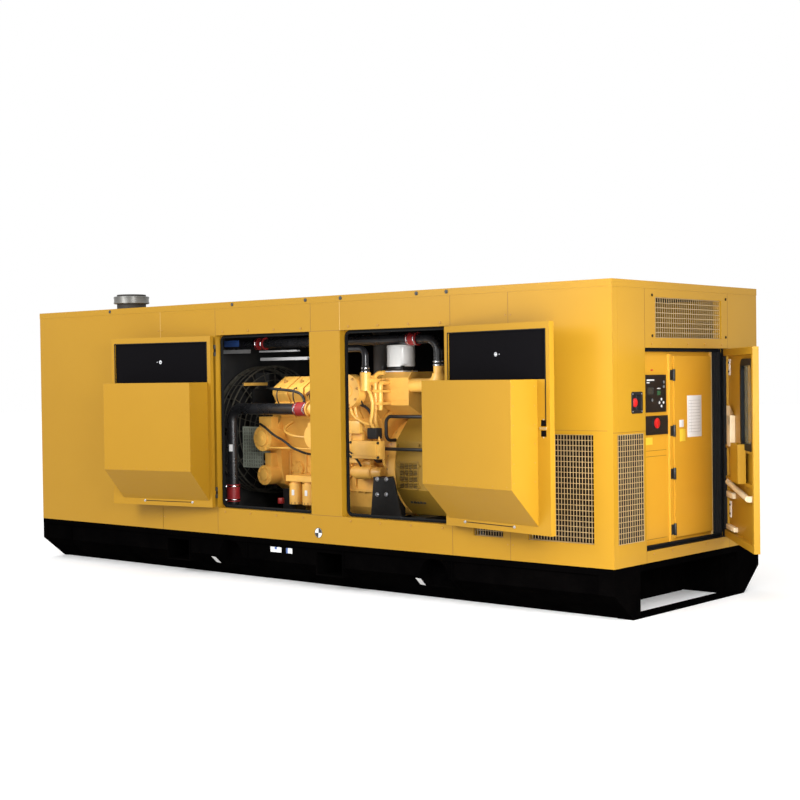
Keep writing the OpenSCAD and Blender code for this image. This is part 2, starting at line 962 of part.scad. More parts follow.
// Six separate heads on each bank, each with its valve cover and exhaust port.
module cylinder_heads() {
    color(engine_yellow) for (side = [-1, 1], i = [0 : 5])
        translate([block_x0 + 16 + i * head_pitch, 0, crank_z]) rotate([side * bank_angle, 0, 0]) {
            block([0, -head_hw, deck_up + seat], [head_l, head_hw, deck_up + head_h]);
            slab_x(4, head_l - 8) polygon([
                [18 - head_hw, deck_up + head_h - 1], [head_hw - 18, deck_up + head_h - 1],
                [head_hw - 18, deck_up + head_h + cover_h - 48], [head_hw - 52, deck_up + head_h + cover_h],
                [52 - head_hw, deck_up + head_h + cover_h], [18 - head_hw, deck_up + head_h + cover_h - 48]
            ]);
        }
}

// Front gear housing with its round covers, the coolant pump and the gear-driven pumps.
module gear_case() {
    x = block_x0 - gear_t;
    color(engine_yellow) {
        slab_x(x, gear_t - seat) polygon([
            [-440, crank_z], [-400, crank_z - 180], [-200, crank_z - 300], [200, crank_z - 300],
            [400, crank_z - 180], [440, crank_z], [470, crank_z + 380], [330, crank_z + 560],
            [-330, crank_z + 560], [-470, crank_z + 380]
        ]);
        for (s = [-1, 1])
            tube_x([x - 58, s * 250, crank_z + 330], 120, 60);
        tube_x([x - 68, 0, crank_z], 170, 70);
        tube_y([x + 52, -600, crank_z + 250], 118, 180);
        block([x - 30, -560, crank_z + 330], [x + 130, -468, crank_z + 450]);
        tube_y([x + 30, -560, crank_z - 95], 92, 180);
        block([x + 2, -520, crank_z - 60], [x + 82, -430, crank_z + 110]);
    }
}

// Flywheel housing with its flange ring, and the starter motor along the block.
module flywheel_housing() {
    color(engine_yellow) {
        tube_x([block_x1 + seat, 0, crank_z], fly_r - 25, 61);
        tube_x([block_x1 + 60, 0, crank_z], fly_r, 80);
        tube_x([block_x1 - 350, -440, crank_z - 35], 52, 352);
        tube_x([block_x1 - 320, -440, crank_z - 35], 64, 190);
    }
}

// Aftercooler over the flywheel housing with its outlet duct, the inlet manifold along the V, and the
// turbocharger beside the rear head with the pipes that rise next to it.
module turbo_and_aftercooler() {
    z0 = crank_z + 500;
    x1 = cooler_x0 + cooler_l;
    duct_r = 60;
    duct_z = cooler_top - 115;
    side = -cooler_hw - 110;
    color(engine_yellow) {
        difference() {
            slab_x(cooler_x0, cooler_l) polygon([
                [-cooler_hw, z0 + 60], [-cooler_hw, cooler_top - 50], [50 - cooler_hw, cooler_top],
                [cooler_hw - 50, cooler_top], [cooler_hw, cooler_top - 50], [cooler_hw, z0 + 60],
                [240, crank_z + fly_r + seat], [-240, crank_z + fly_r + seat]
            ]);
            for (z = [z0 + 100, z0 + 212], s = [-1, 1])
                block([cooler_x0 - 1, s * cooler_hw - 5, z], [x1 + 1, s * cooler_hw + 5, z + 6]);
        }
        tube_x([x1 - 1, charge_y, duct_z], duct_r, charge_end - x1 - 99);
        translate([charge_end - 100, charge_y, duct_z]) rotate([0, 90, 0]) rotate([0, 0, 180])
            elbow(duct_r, 100, 90) run(charge_r + 3, 62);
        slab_x(block_x0 + 40, cooler_x0 - block_x0 - 39) polygon([
            [-120, z0 + 60], [-120, z0 + 240], [-80, z0 + 290],
            [80, z0 + 290], [120, z0 + 240], [120, z0 + 60]
        ]);
        block([turbo_x - 86, exhaust_y - 70, z0 + 266], [turbo_x + 34, -79, z0 + 289]);
        translate([turbo_x - 26, exhaust_y, z0 + 266]) cylinder(h = exhaust_low - z0 - 266, r = 88);
        turbocharger(turbo_x, z0 + 190);
        translate([cooler_x0 + 27, side, z0 + 20]) cylinder(h = 265, r = 21);
        translate([cooler_x0 + 85, side, z0 + 20])
            run(21, 210) rotate([0, 0, 90]) elbow(21, 30, 90) run(21, 85);
        for (z = [z0 + 66, z0 + 174])
            block([cooler_x0 + 2, side - 28, z], [cooler_x0 + 112, -cooler_hw + 3, z + 22]);
    }
}

// Turbocharger beside the heads: the scroll and its cap, the outlet stub and the duct to the aftercooler.
module turbocharger(x, z) {
    tube_y([x, -690, z], 145, 100);
    tube_y([x, -700, z], 60, 11);
    block([x - 125, -680, z - 100], [x - 20, -600, z]);
    translate([vent_pipe_x, vent_pipe_y, z]) cylinder(h = cooler_top - z, r = 48);
    tube_x([x + 60, -600, z + 90], 42, cooler_x0 - x - 36);
    block([cooler_x0 - 10, -652, z + 72], [cooler_x0 + 54, -cooler_hw + 3, z + 104]);
}

// White air filter canister on its foot on top of the aftercooler.
module air_filter() {
    color([0.9, 0.9, 0.9]) translate([cooler_x0 + 126, -330, cooler_top + seat]) {
        block([-105, -100, 0], [105, 100, 14]);
        cylinder(h = 48, r = filter_r - 20);
        translate([0, 0, 47]) cylinder(h = filter_h, r = filter_r);
        translate([0, 0, 46 + filter_h]) cylinder(h = 5, r = filter_r - 28);
    }
}

// Three spin-on filters under their head on the near side of the block.
module oil_filters() {
    color(engine_yellow) {
        for (i = [0 : 2])
            translate([-270 + i * 165, -600, crank_z - 340]) {
                cylinder(h = 190, r = 66);
                translate([0, 0, 189]) cylinder(h = 22, r = 50);
            }
        block([-345, -665, crank_z - 130], [140, -block_hw - 22 - seat, crank_z - 75]);
    }
}

// Large lower coolant pipe from the radiator's bottom tank, the long charge pipe under the roof, and the
// small vent pipe that rises from the turbocharger's outlet.
module coolant_pipes() {
    r = pipe_d / 2;
    from = rad_x + rad_t + seat;
    color(black) {
        translate([from, pipe_y, pipe_low]) rotate([0, 90, 0]) rotate([0, 0, 180])
            run(r, pipe_x - pipe_bend - from) elbow(r, pipe_bend, 90)
            run(r, pipe_z - 2 * pipe_bend - pipe_low) rotate([0, 0, 180]) elbow(r, pipe_bend, 90)
            run(r, pump_x - 92 - seat - pipe_x - pipe_bend);
        translate([from, charge_y, charge_z]) rotate([0, 90, 0])
            run(charge_r, charge_end - from - 120) elbow(charge_r, 120, 90)
            run(charge_r, charge_z - 120 - cooler_top - 47 - seat);
        translate([vent_pipe_x, vent_pipe_y, cooler_top + seat]) run(30, 140)
            rotate([0, 0, 180]) elbow(30, 70, 90) run(30, 420);
    }
}

// A hose that laps a pipe, with a raised lip at both ends, drawn along +Z.
module coupling(r, l) {
    difference() {
        union() {
            cylinder(h = l, r = r + 10);
            for (z = [0, l - 34])
                translate([0, 0, z]) cylinder(h = 34, r = r + 13);
        }
        translate([0, 0, -1]) cylinder(h = l + 2, r = r + seat);
    }
}

module pipe_couplings() {
    r = pipe_d / 2;
    color(red) {
        translate([pump_x - 252, pipe_y, pipe_z]) rotate([0, 90, 0]) coupling(r, 150);
        translate([pipe_x, pipe_y, pipe_low + pipe_bend + 4]) coupling(r, 160);
        translate([-960, charge_y, charge_z]) rotate([0, 90, 0]) coupling(charge_r, 110);
        translate([930, charge_y, charge_z]) rotate([0, 90, 0]) coupling(charge_r, 110);
    }
}

// Coolant pump on the near side: the inlet elbow under the pipe, the round body and its pipe to the block.
module coolant_pump() {
    color(engine_yellow) {
        translate([pump_x - 91, pipe_y, pipe_z]) rotate([0, 90, 0])
            run(pipe_d / 2, 20) elbow(pipe_d / 2, 72, 90) run(pipe_d / 2, 70);
        tube_x([pump_x - 92, pipe_y, pipe_z], 70, 16);
        tube_y([pump_x, -755, pipe_z - 240], 112, 130);
        tube_y([pump_x, -626, pipe_z - 240], 60, 205.5);
        block([pump_x - 70, -750, pipe_z - 172], [pump_x + 70, -640, pipe_z - 120]);
    }
}

// Alternator: an eight-sided fabricated frame with louvred covers, an adaptor ring and the bearing end.
module alternator() {
    mid = crank_z;
    color([0.72, 0.62, 0.15]) {
        tube_x([alt_x0, 0, mid], fly_r - 10, 40);
        difference() {
            slab_x(alt_x0 + 39, alt_l - 40) alternator_outline();
            for (s = [-1, 1], i = [0 : 4], j = [0 : 3])
                block([alt_x0 + 75 + i * 36, s * alt_hw - 12, mid - 160 + j * 55],
                    [alt_x0 + 99 + i * 36, s * alt_hw + 12, mid - 120 + j * 55]);
        }
        tube_x([alt_x0 + alt_l - 2, 0, mid], 380, 60);
        block([alt_x0 + 430, -300, alt_top - 1], [alt_x0 + 1080, 300, alt_top + 330]);
    }
}

module alternator_outline() {
    polygon([
        [-alt_hw, 830], [-alt_hw, 1250], [-300, alt_top], [300, alt_top], [alt_hw, 1250], [alt_hw, 830],
        [255, alt_low], [-255, alt_low]
    ]);
}

// Two long rails on the floor, with the feet and brackets that carry the engine and the alternator.
module machine_mounts() {
    rail_y = 400;
    rail_w = 60;
    z0 = floor_z + seat;
    z1 = z0 + 130;
    color(black) for (m = [0, 1]) mirror([0, m, 0]) {
        difference() {
            block([-1000, -rail_y - rail_w, z0], [2060, -rail_y + rail_w, z1]);
            block([-1001, -rail_y - rail_w - 1, z0 + 14], [2061, -rail_y - 10, z1 - 14]);
        }
        block([block_x0 + 30, -rail_y - rail_w, z1 - 0.1], [block_x0 + 190, -322, crank_z - 220 - seat]);
        for (x = [alt_x0 + 180, alt_x0 + 900])
            block([x, -rail_y - rail_w, z1 - 0.1], [x + 180, -200, alt_low - seat]);
        rear_bracket(z1);
    }
}

// Rear engine bracket: a bolted face plate with its gussets, and an arm that meets the flywheel housing.
module rear_bracket(z1) {
    translate([0, -586, 0]) rotate([90, 0, 0]) linear_extrude(14) polygon([
        [620, z1], [985, z1], [985, z1 + 80], [905, crank_z - 60], [675, crank_z - 60], [640, z1 + 80]
    ]);
    block([620, -600, z1 - 0.1], [985, -340, z1 + 14]);
    difference() {
        for (x = [block_x1 + 12, block_x1 + 100])
            block([x, -587, z1 + 13], [x + 28, -300, crank_z - 60]);
        tube_x([block_x1 - 1, 0, crank_z], fly_r + seat, 200);
    }
}

// Radiator: the core in its side channels between two tanks, and the shroud plate with its round throat.
module radiator() {
    front = rad_x + rad_t;
    tank_h = 160;
    color(black) {
        block([rad_x + 30, -rad_hw + 50, floor_z + seat + tank_h - 1],
            [front - 60, rad_hw - 50, rad_top - tank_h + 1]);
        block([rad_x, -rad_hw, floor_z + seat], [front, rad_hw, floor_z + seat + tank_h]);
        block([rad_x, -rad_hw, rad_top - tank_h], [front, rad_hw, rad_top]);
        block_pair([rad_x, -rad_hw, floor_z + tank_h], [front, -rad_hw + 60, rad_top - tank_h + 1]);
        difference() {
            block([front - 10, -rad_hw + 10, floor_z + tank_h], [front, rad_hw - 10, rad_top - tank_h + 1]);
            tube_x([front - 11, 0, fan_z], fan_r - 30, 12);
        }
        difference() {
            tube_x([front - 1, 0, fan_z], fan_r - 18, fan_x - front + 1);
            tube_x([front - 2, 0, fan_z], fan_r - 30, fan_x - front + 4);
        }
    }
}

// Fan on its shaft from the gear case: eight pitched blades round a hub.
module fan() {
    x = fan_x - 20;
    color(black) {
        tube_x([x, 0, fan_z], 130, 90);
        tube_x([x + 89, 0, fan_z], 60, block_x0 - gear_t - x - 89 - seat);
        for (i = [0 : 7])
            translate([x + 45, 0, fan_z]) rotate([i * 45, 0, 0]) rotate([0, 0, 32])
                block([-70, -5, 110], [70, 5, fan_r - 60]);
    }
}

// Cage in front of the fan: rings and spokes on its face, bars and hoops round its side.
module fan_guard() {
    x1 = fan_x + fan_d;
    wire = 7;
    color(black) {
        for (r = [150 : 67 : fan_r - 1])
            ring_x(x1, r, wire, wire);
        ring_x(x1, fan_r, 14, wire);
        for (x = [fan_x + seat, fan_x + 70, fan_x + 130])
            ring_x(x, fan_r, wire, wire);
        for (i = [0 : 23]) {
            translate([x1, 0, fan_z]) rotate([i * 15, 0, 0])
                block([0.5, -3, 140], [wire - 0.5, 3, fan_r + 3]);
            translate([fan_x + 1, 0, fan_z]) rotate([i * 15, 0, 0])
                block([0, -3, fan_r - 5], [fan_d + 2, 3, fan_r + wire - 6]);
        }
        difference() {
            tube_x([fan_x + seat, 0, fan_z], fan_r + 1, 6);
            tube_x([fan_x - 1, 0, fan_z], fan_r - 32, 8);
        }
    }
}

// A flat ring round the fan's axis, with its middle at radius r.
module ring_x(x, r, w, t) {
    difference() {
        tube_x([x, 0, fan_z], r + w / 2, t);
        tube_x([x - 1, 0, fan_z], r - w / 2, t + 2);
    }
}

// Mesh side guard over the belts between the fan cage and the gear case.
module belt_guard() {
    x0 = fan_x + fan_d + 10;
    w = 280;
    h = 390;
    n = 8;
    m = 11;
    z = crank_z - 40;
    color([0.45, 0.5, 0.45]) {
        translate([x0, -444, z]) rotate([90, 0, 0]) linear_extrude(4) difference() {
            square([w, h]);
            for (i = [0 : n - 1], j = [0 : m - 1])
                translate([12 + i * (w - 20) / n, 12 + j * (h - 20) / m])
                    square([(w - 20) / n - 5, (h - 20) / m - 5]);
        }
        for (dz = [50, 140])
            block([x0 + w - 20, -444.1, z + dz], [block_x0 - gear_t - seat, -400, z + dz + 20]);
    }
}

// Two sleeved cable bundles, from the flywheel housing and from the block to the alternator.
module cables() {
    color(black) {
        cable_path([block_x1 + 100, 388, crank_z + 254], 60, 91, alt_x0 + 560, -300);
        cable_path([block_x1 - 38, block_hw, crank_z + 67], 50, 15, alt_x0 + 440, -alt_hw);
    }
}

// One bundle: out from the side at a point (its y is a distance), up, along +X and in to the face at y_end.
module cable_path(p, bend, rise, x_end, y_end) {
    r = 15;
    out = 510;
    last = 38;
    translate([p[0], -p[1] - seat, p[2]]) rotate([90, 0, 0]) rotate([0, 0, 90])
        run(r, out - p[1] - bend) elbow(r, bend, 90)
        run(r, rise) rotate([0, 0, -90]) elbow(r, bend, 90)
        run(r, x_end - p[0] - bend - last) rotate([0, 0, 90]) elbow(r, last, 90)
        run(r, y_end + out - last);
}

// Silencer drum under the roof, its inlet pipe over the radiator, and the stub that rises through the roof.
module silencer() {
    drum_x = stub_x - 234;
    pipe_r = 78;
    bend = 120;
    over_z = rad_top + 90;
    low = silencer_z;
    color(black) {
        translate([stub_x, stub_y, low]) cylinder(h = stub_top - low, r = stub_d / 2);
        tube_x([drum_x, stub_y, low], silencer_r, silencer_l);
        for (x = [drum_x - 12, drum_x + silencer_l - 8])
            tube_x([x, stub_y, low], silencer_r - 40, 20);
        translate([drum_x + silencer_l + 10, exhaust_y, low]) rotate([0, 90, 0]) rotate([0, 0, 180])
            run(pipe_r, 40) elbow(pipe_r, bend, 90)
            run(pipe_r, over_z - low - 2 * bend) rotate([0, 0, 180]) elbow(pipe_r, bend, 90)
            run(pipe_r, turbo_x - 26 - drum_x - silencer_l - 50 - 3 * bend) elbow(pipe_r, bend, 90)
            run(pipe_r, over_z - bend - exhaust_low - seat);
        for (x = [drum_x + 150, drum_x + silencer_l - 200])
            block([x, stub_y - 30, floor_z + seat], [x + 60, stub_y + 30, low - silencer_r + 20]);
    }
}

// Band clamp near the top of the exhaust stub.
module exhaust_clamp() {
    color(steel) translate([stub_x, stub_y, stub_top - clamp_h - 19]) difference() {
        cylinder(h = clamp_h, r = stub_d / 2 + clamp_t);
        translate([0, 0, -1]) cylinder(h = clamp_h + 2, r = stub_d / 2 + seat);
    }
}
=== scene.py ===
import json
from math import cos, pi, radians, sin

import bmesh
import bpy
from mathutils import Matrix, Vector


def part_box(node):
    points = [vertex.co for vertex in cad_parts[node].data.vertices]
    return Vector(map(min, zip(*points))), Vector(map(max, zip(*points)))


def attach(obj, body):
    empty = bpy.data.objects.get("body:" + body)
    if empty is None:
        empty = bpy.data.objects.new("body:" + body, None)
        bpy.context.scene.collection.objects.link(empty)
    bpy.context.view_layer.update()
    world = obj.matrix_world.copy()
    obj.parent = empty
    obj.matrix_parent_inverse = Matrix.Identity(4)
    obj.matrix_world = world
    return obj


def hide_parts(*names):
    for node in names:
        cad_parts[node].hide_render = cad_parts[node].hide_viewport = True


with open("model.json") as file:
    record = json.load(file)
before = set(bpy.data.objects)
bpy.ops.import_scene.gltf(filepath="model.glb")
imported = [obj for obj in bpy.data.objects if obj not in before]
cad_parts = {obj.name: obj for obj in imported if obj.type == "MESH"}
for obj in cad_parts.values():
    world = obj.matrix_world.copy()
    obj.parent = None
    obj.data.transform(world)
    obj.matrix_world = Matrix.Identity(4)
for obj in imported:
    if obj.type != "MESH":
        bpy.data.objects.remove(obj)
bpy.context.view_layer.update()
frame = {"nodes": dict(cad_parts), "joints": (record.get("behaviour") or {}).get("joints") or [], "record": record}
nodes = frame["nodes"]
joints = {joint["name"]: joint for joint in frame["joints"]}


# ---- Studio ----
# A pale seamless floor under an even white sky. A soft lamp close to the control end's corner makes both
# walls brighten towards it, wide ones light the long wall, and three small ones light the machine's bay.
def add_lamp(name, place, aim, size, watts):
    """A round lamp that looks at a point and is not seen itself."""
    data = bpy.data.lights.new(name, "AREA")
    data.shape = "DISK"
    data.size = size
    data.energy = watts
    lamp = bpy.data.objects.new(name, data)
    lamp.location = place
    lamp.visible_camera = False
    lamp.rotation_mode = "QUATERNION"
    lamp.rotation_quaternion = (Vector(aim) - Vector(place)).to_track_quat("-Z", "Y")
    bpy.context.collection.objects.link(lamp)


add_lamp("corner_lamp", (4.8, -2.8, 1.7), (3.1, -1.0, 1.2), 1.6, 95)
add_lamp("front_lamp", (-2.6, -8.0, 4.6), (-0.8, -1.1, 1.0), 4.0, 400)
add_lamp("far_lamp", (12.5, -8.5, 3.5), (0.5, -1.0, 1.2), 3.0, 500)
add_lamp("side_lamp", (9.0, -3.4, 1.6), (3.4, 0.0, 1.1), 2.0, 70)
add_lamp("bay_lamp", (-0.20, -0.90, 2.05), (-0.80, -0.40, 1.20), 0.4, 4)
add_lamp("cooler_lamp", (1.00, -0.98, 1.70), (0.85, -0.45, 1.66), 0.4, 2.6)
add_lamp("foot_lamp", (1.50, -0.98, 0.70), (1.15, -0.35, 0.80), 0.3, 3.2)

sky = bpy.data.worlds.new("studio_sky")
sky.use_nodes = True
daylight = sky.node_tree.nodes["Background"].inputs
daylight["Color"].default_value = (1.0, 1.0, 1.0, 1.0)
daylight["Strength"].default_value = 1.0
bpy.context.scene.world = sky
bpy.context.scene.view_settings.view_transform = "Standard"

camera_data = bpy.data.cameras.new("studio_camera")
camera_data.sensor_width = 36.0
camera_data.lens = 66.1
camera_data.clip_end = 200.0
camera = bpy.data.objects.new("studio_camera", camera_data)
camera.location = (9.215, -10.080, 1.827)
camera.rotation_euler = (radians(89.009), radians(0.748), radians(40.928))
bpy.context.collection.objects.link(camera)
bpy.context.scene.camera = camera


def place_node(tree, kind, sockets=None, **settings):
    """A shader node with its settings, and its sockets set to values or linked to other sockets."""
    node = tree.nodes.new("ShaderNode" + kind)
    for key, value in settings.items():
        setattr(node, key, value)
    for key, value in (sockets or {}).items():
        if isinstance(value, bpy.types.NodeSocket):
            tree.links.new(value, node.inputs[key])
        else:
            node.inputs[key].default_value = value
    return node


def new_material(name, **constants):
    """A material whose shader's constant sockets are set by their names."""
    material = bpy.data.materials.new(name)
    material.use_nodes = True
    shader = material.node_tree.nodes["Principled BSDF"]
    for label, value in constants.items():
        shader.inputs[label.replace("_", " ")].default_value = value
    return material, material.node_tree, shader


def rgb(red, green, blue):
    """An opaque colour."""
    return (red, green, blue, 1.0)


def new_group(name, inputs, outputs):
    """An effect that several finishes share, with named inputs and outputs."""
    tree = bpy.data.node_groups.new(name, "ShaderNodeTree")
    for label, kind, value in inputs:
        socket = tree.interface.new_socket(label, in_out="INPUT", socket_type="NodeSocket" + kind)
        socket.default_value = value
    for label, kind in outputs:
        tree.interface.new_socket(label, in_out="OUTPUT", socket_type="NodeSocket" + kind)
    return tree, tree.nodes.new("NodeGroupInput").outputs, tree.nodes.new("NodeGroupOutput").inputs


def on_object(tree):
    """The place on the piece itself, which every pattern reads."""
    return place_node(tree, "TexCoord").outputs["Object"]


def blend(tree, factor, first, second):
    """A colour between two others."""
    return place_node(tree, "Mix", {0: factor, 6: first, 7: second}, data_type="RGBA").outputs[2]


def work_out(tree, operation, first, second):
    """The result of a sum on two values."""
    return place_node(tree, "Math", {0: first, 1: second}, operation=operation).outputs[0]


def spread_between(tree, value, low, high, first=0.0, last=1.0):
    """A value's range from low to high, spread from first to last."""
    return place_node(tree, "MapRange", {0: value, 1: low, 2: high, 3: first, 4: last}).outputs[0]


def connect(tree, shader, colour, roughness=None, relief=None):
    """Leads what changes over the surface to the shader. The relief is its strength, depth and height."""
    tree.links.new(colour, shader.inputs["Base Color"])
    if roughness:
        tree.links.new(roughness, shader.inputs["Roughness"])
    if relief:
        strength, depth, height = relief
        bump = place_node(tree, "Bump", {"Strength": strength, "Distance": depth, "Height": height})
        tree.links.new(bump.outputs["Normal"], shader.inputs["Normal"])


# Tone and grain: broad soft patches between two colours, with a fine grain for the roughness and the bump.
tone_group, given, result = new_group(
    "Tone and Grain",
    [
        ("Colour", "Color", rgb(0.8, 0.8, 0.8)),
        ("Second Colour", "Color", rgb(0.6, 0.6, 0.6)),
        ("Patch Scale", "Float", 1.5),
        ("Grain Scale", "Float", 220.0),
        ("Roughness", "Float", 0.4),
        ("Roughness Spread", "Float", 0.1),
    ],
    [("Colour", "Color"), ("Roughness", "Float"), ("Height", "Float")],
)
place = on_object(tone_group)
patch = place_node(
    tone_group, "TexNoise", {"Vector": place, "Scale": given["Patch Scale"], "Detail": 6.0, "Roughness": 0.6}
).outputs["Fac"]
grain = place_node(
    tone_group, "TexNoise", {"Vector": place, "Scale": given["Grain Scale"], "Detail": 3.0, "Roughness": 0.5}
)
share = spread_between(tone_group, patch, 0.35, 0.70)
uneven = work_out(
    tone_group, "MULTIPLY", work_out(tone_group, "SUBTRACT", patch, 0.5), given["Roughness Spread"]
)
tone_group.links.new(
    blend(tone_group, share, given["Colour"], given["Second Colour"]), result["Colour"]
)
tone_group.links.new(work_out(tone_group, "ADD", uneven, given["Roughness"]), result["Roughness"])
tone_group.links.new(grain.outputs["Fac"], result["Height"])

# Settled dust: a pale film that is thickest low down, broken by a noise.
dust_group, given, result = new_group(
    "Settled Dust",
    [
        ("Colour", "Color", rgb(0.5, 0.5, 0.5)),
        ("Dust Colour", "Color", rgb(0.42, 0.38, 0.32)),
        ("Amount", "Float", 0.3),
        ("Height", "Float", 0.5),
    ],
    [("Colour", "Color"), ("Mask", "Float")],
)
place = on_object(dust_group)
axes = place_node(dust_group, "SeparateXYZ", {0: place})
low = spread_between(dust_group, axes.outputs["Z"], 0.0, given["Height"], 1.0, 0.0)
cloud = place_node(dust_group, "TexNoise", {"Vector": place, "Scale": 7.0, "Detail": 8.0, "Roughness": 0.7})
broken = spread_between(dust_group, cloud.outputs["Fac"], 0.40, 0.75)
mask = work_out(dust_group, "MULTIPLY", work_out(dust_group, "MULTIPLY", low, broken), given["Amount"])
dust_group.links.new(blend(dust_group, mask, given["Colour"], given["Dust Colour"]), result["Colour"])
dust_group.links.new(mask, result["Mask"])


def painted(name, colour, second, patch=1.5, grain=220.0, roughness=0.4, spread=0.1, bump=0.03, dust=0.0,
            dust_height=0.6, **constants):
    """A material of tone and grain, with dust over it where it is wanted, and the grain as its bump."""
    material, tree, shader = new_material(name, **constants)
    skin = place_node(tree, "Group", node_tree=tone_group)
    for label, value in (("Colour", rgb(*colour)), ("Second Colour", rgb(*second)), ("Patch Scale", patch),
                         ("Grain Scale", grain), ("Roughness", roughness), ("Roughness Spread", spread)):
        skin.inputs[label].default_value = value
    surface = skin.outputs["Colour"]
    if dust:
        film = place_node(tree, "Group", node_tree=dust_group)
        tree.links.new(surface, film.inputs["Colour"])
        film.inputs["Amount"].default_value = dust
        film.inputs["Height"].default_value = dust_height
        surface = film.outputs["Colour"]
    connect(tree, shader, surface, skin.outputs["Roughness"], (bump, 0.002, skin.outputs["Height"]))
    return material


def add_plate(bm, size, place):
    """A thin block drawn at the origin and then carried to its place."""
    made = bmesh.ops.create_cube(bm, size=1.0, matrix=Matrix.Diagonal((*size, 1)))
    bmesh.ops.transform(bm, verts=made["verts"], matrix=place)


def finish_piece(name, bm, material, body="enclosure", smooth=35, recalculate=True, place=None):
    """Makes a mesh, carried to its place, a piece of the set with smooth curves and sharp corners."""
    if place:
        bmesh.ops.transform(bm, matrix=place, verts=bm.verts)
    if recalculate:
        bmesh.ops.recalc_face_normals(bm, faces=bm.faces)
    for face in bm.faces:
        face.smooth = True
    mesh = bpy.data.meshes.new(name)
    bm.to_mesh(mesh)
    bm.free()
    mesh.set_sharp_from_angle(angle=radians(smooth))
    mesh.materials.append(material)
    piece = bpy.data.objects.new(name, mesh)
    bpy.context.collection.objects.link(piece)
    if body:
        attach(piece, body)
    return piece


# The floor looks white, but throws less light back on the set than white paint would.
FLOOR_SEEN, FLOOR_BOUNCE, FLOOR_GLOW = 0.96, 0.60, 0.12
FLOOR_HALF, FLOOR_DROP = 60.0, 0.001
floor_paint, tree, shader = new_material(
    "floor_paint", Roughness=0.9, Specular_IOR_Level=0.1, Emission_Color=rgb(1.0, 1.0, 1.0)
)
seen = place_node(tree, "LightPath").outputs["Is Camera Ray"]
connect(tree, shader, blend(tree, seen, rgb(*[FLOOR_BOUNCE] * 3), rgb(*[FLOOR_SEEN] * 3)))
tree.links.new(work_out(tree, "MULTIPLY", seen, FLOOR_GLOW), shader.inputs["Emission Strength"])
bm = bmesh.new()
bmesh.ops.create_grid(
    bm, x_segments=1, y_segments=1, size=FLOOR_HALF, matrix=Matrix.Translation((0, 0, -FLOOR_DROP))
)
finish_piece("studio_floor", bm, floor_paint, body=None)


# ---- Enclosure walls ----
# Folded steel panels with foam inside, sprayed with a satin yellow coach enamel that has a faint orange
# peel. Each panel stands on the base and is screwed to its neighbours, and a thin line of sealer closes
# each joint.
enamel = painted(
    "yellow_coach_enamel", (0.400, 0.212, 0.0135), (0.384, 0.200, 0.012), patch=0.9, grain=260.0,
    roughness=0.38, spread=0.12, bump=0.035, Specular_IOR_Level=0.2,
)


def dress(material, *names):
    """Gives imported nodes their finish."""
    for name in names:
        mesh = nodes[name].data
        mesh.materials.clear()
        mesh.materials.append(material)


def body_with(node):
    """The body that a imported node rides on."""
    for body, members in frame["record"]["behaviour"]["bodies"].items():
        if node in members:
            return body


MERGE, FLAT = 0.00002, radians(0.3)


def refine(node, material, edge=0.003, angle=30):
    """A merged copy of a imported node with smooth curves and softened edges, which stands for it."""
    bm = bmesh.new()
    bm.from_mesh(nodes[node].data)
    bmesh.ops.remove_doubles(bm, verts=bm.verts, dist=MERGE)
    bmesh.ops.dissolve_limit(bm, angle_limit=FLAT, verts=bm.verts, edges=bm.edges)
    piece = finish_piece(
        node + "_finished", bm, material, body_with(node), smooth=angle, recalculate=False
    )
    if edge:
        soften = piece.modifiers.new("soft_edges", "BEVEL")
        soften.width = edge
        soften.segments = 2
        soften.limit_method = "ANGLE"
        soften.angle_limit = radians(angle)
        soften.harden_normals = True
    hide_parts(node)
    return piece


WALLS = (
    "front_wall_left", "front_pillar", "front_wall_right", "front_header", "front_sill",
    "near_wall_left", "near_wall_right", "near_header", "near_sill", "far_wall", "rear_wall", "roof",
)
dress(enamel, *WALLS, "rear_doors", "door_frames")


def round_off(bm, edges, radius):
    """Rounds the given edges over, in the order in which they were made."""
    bmesh.ops.bevel(
        bm, geom=list(dict.fromkeys(edges)), offset=radius, segments=2, profile=0.5, affect="EDGES",
        material=-1,
    )


def add_box(bm, low, high, edge=0.0):
    """A block between two corners, with rounded edges where an edge radius is given."""
    low, high = Vector(low), Vector(high)
    size = high - low
    made = bmesh.ops.create_cube(
        bm, size=1.0, matrix=Matrix.Translation((low + high) / 2) @ Matrix.Diagonal((*size, 1.0))
    )
    if edge:
        round_off(bm, [line for vert in made["verts"] for line in vert.link_edges], edge)


def add_rod(bm, start, end, radius, sides=24, end_radius=None, edge=0.0):
    """A round bar or a cone between two points, with rounded rims where an edge radius is given."""
    start, end = Vector(start), Vector(end)
    axis = end - start
    made = bmesh.ops.create_cone(
        bm, cap_ends=True, segments=sides, radius1=radius,
        radius2=radius if end_radius is None else end_radius, depth=axis.length,
        matrix=Matrix.Translation((start + end) / 2) @ axis.to_track_quat("Z", "Y").to_matrix().to_4x4(),
    )
    if edge:
        rims = [
            line for vert in made["verts"] for line in vert.link_edges
            if len(line.link_faces) == 2 and line.calc_face_angle(0.0) > radians(50)
        ]
        round_off(bm, rims, edge)


def add_bolt(bm, seat, axis, size):
    """A hexagon bolt head of a given width on its washer."""
    seat, axis = Vector(seat), Vector(axis).normalized()
    add_rod(bm, seat - axis * 0.0005, seat + axis * size * 0.16, size * 0.80, 16)
    add_rod(bm, seat + axis * size * 0.15, seat + axis * size * 0.75, size * 0.56, 6, size * 0.52)


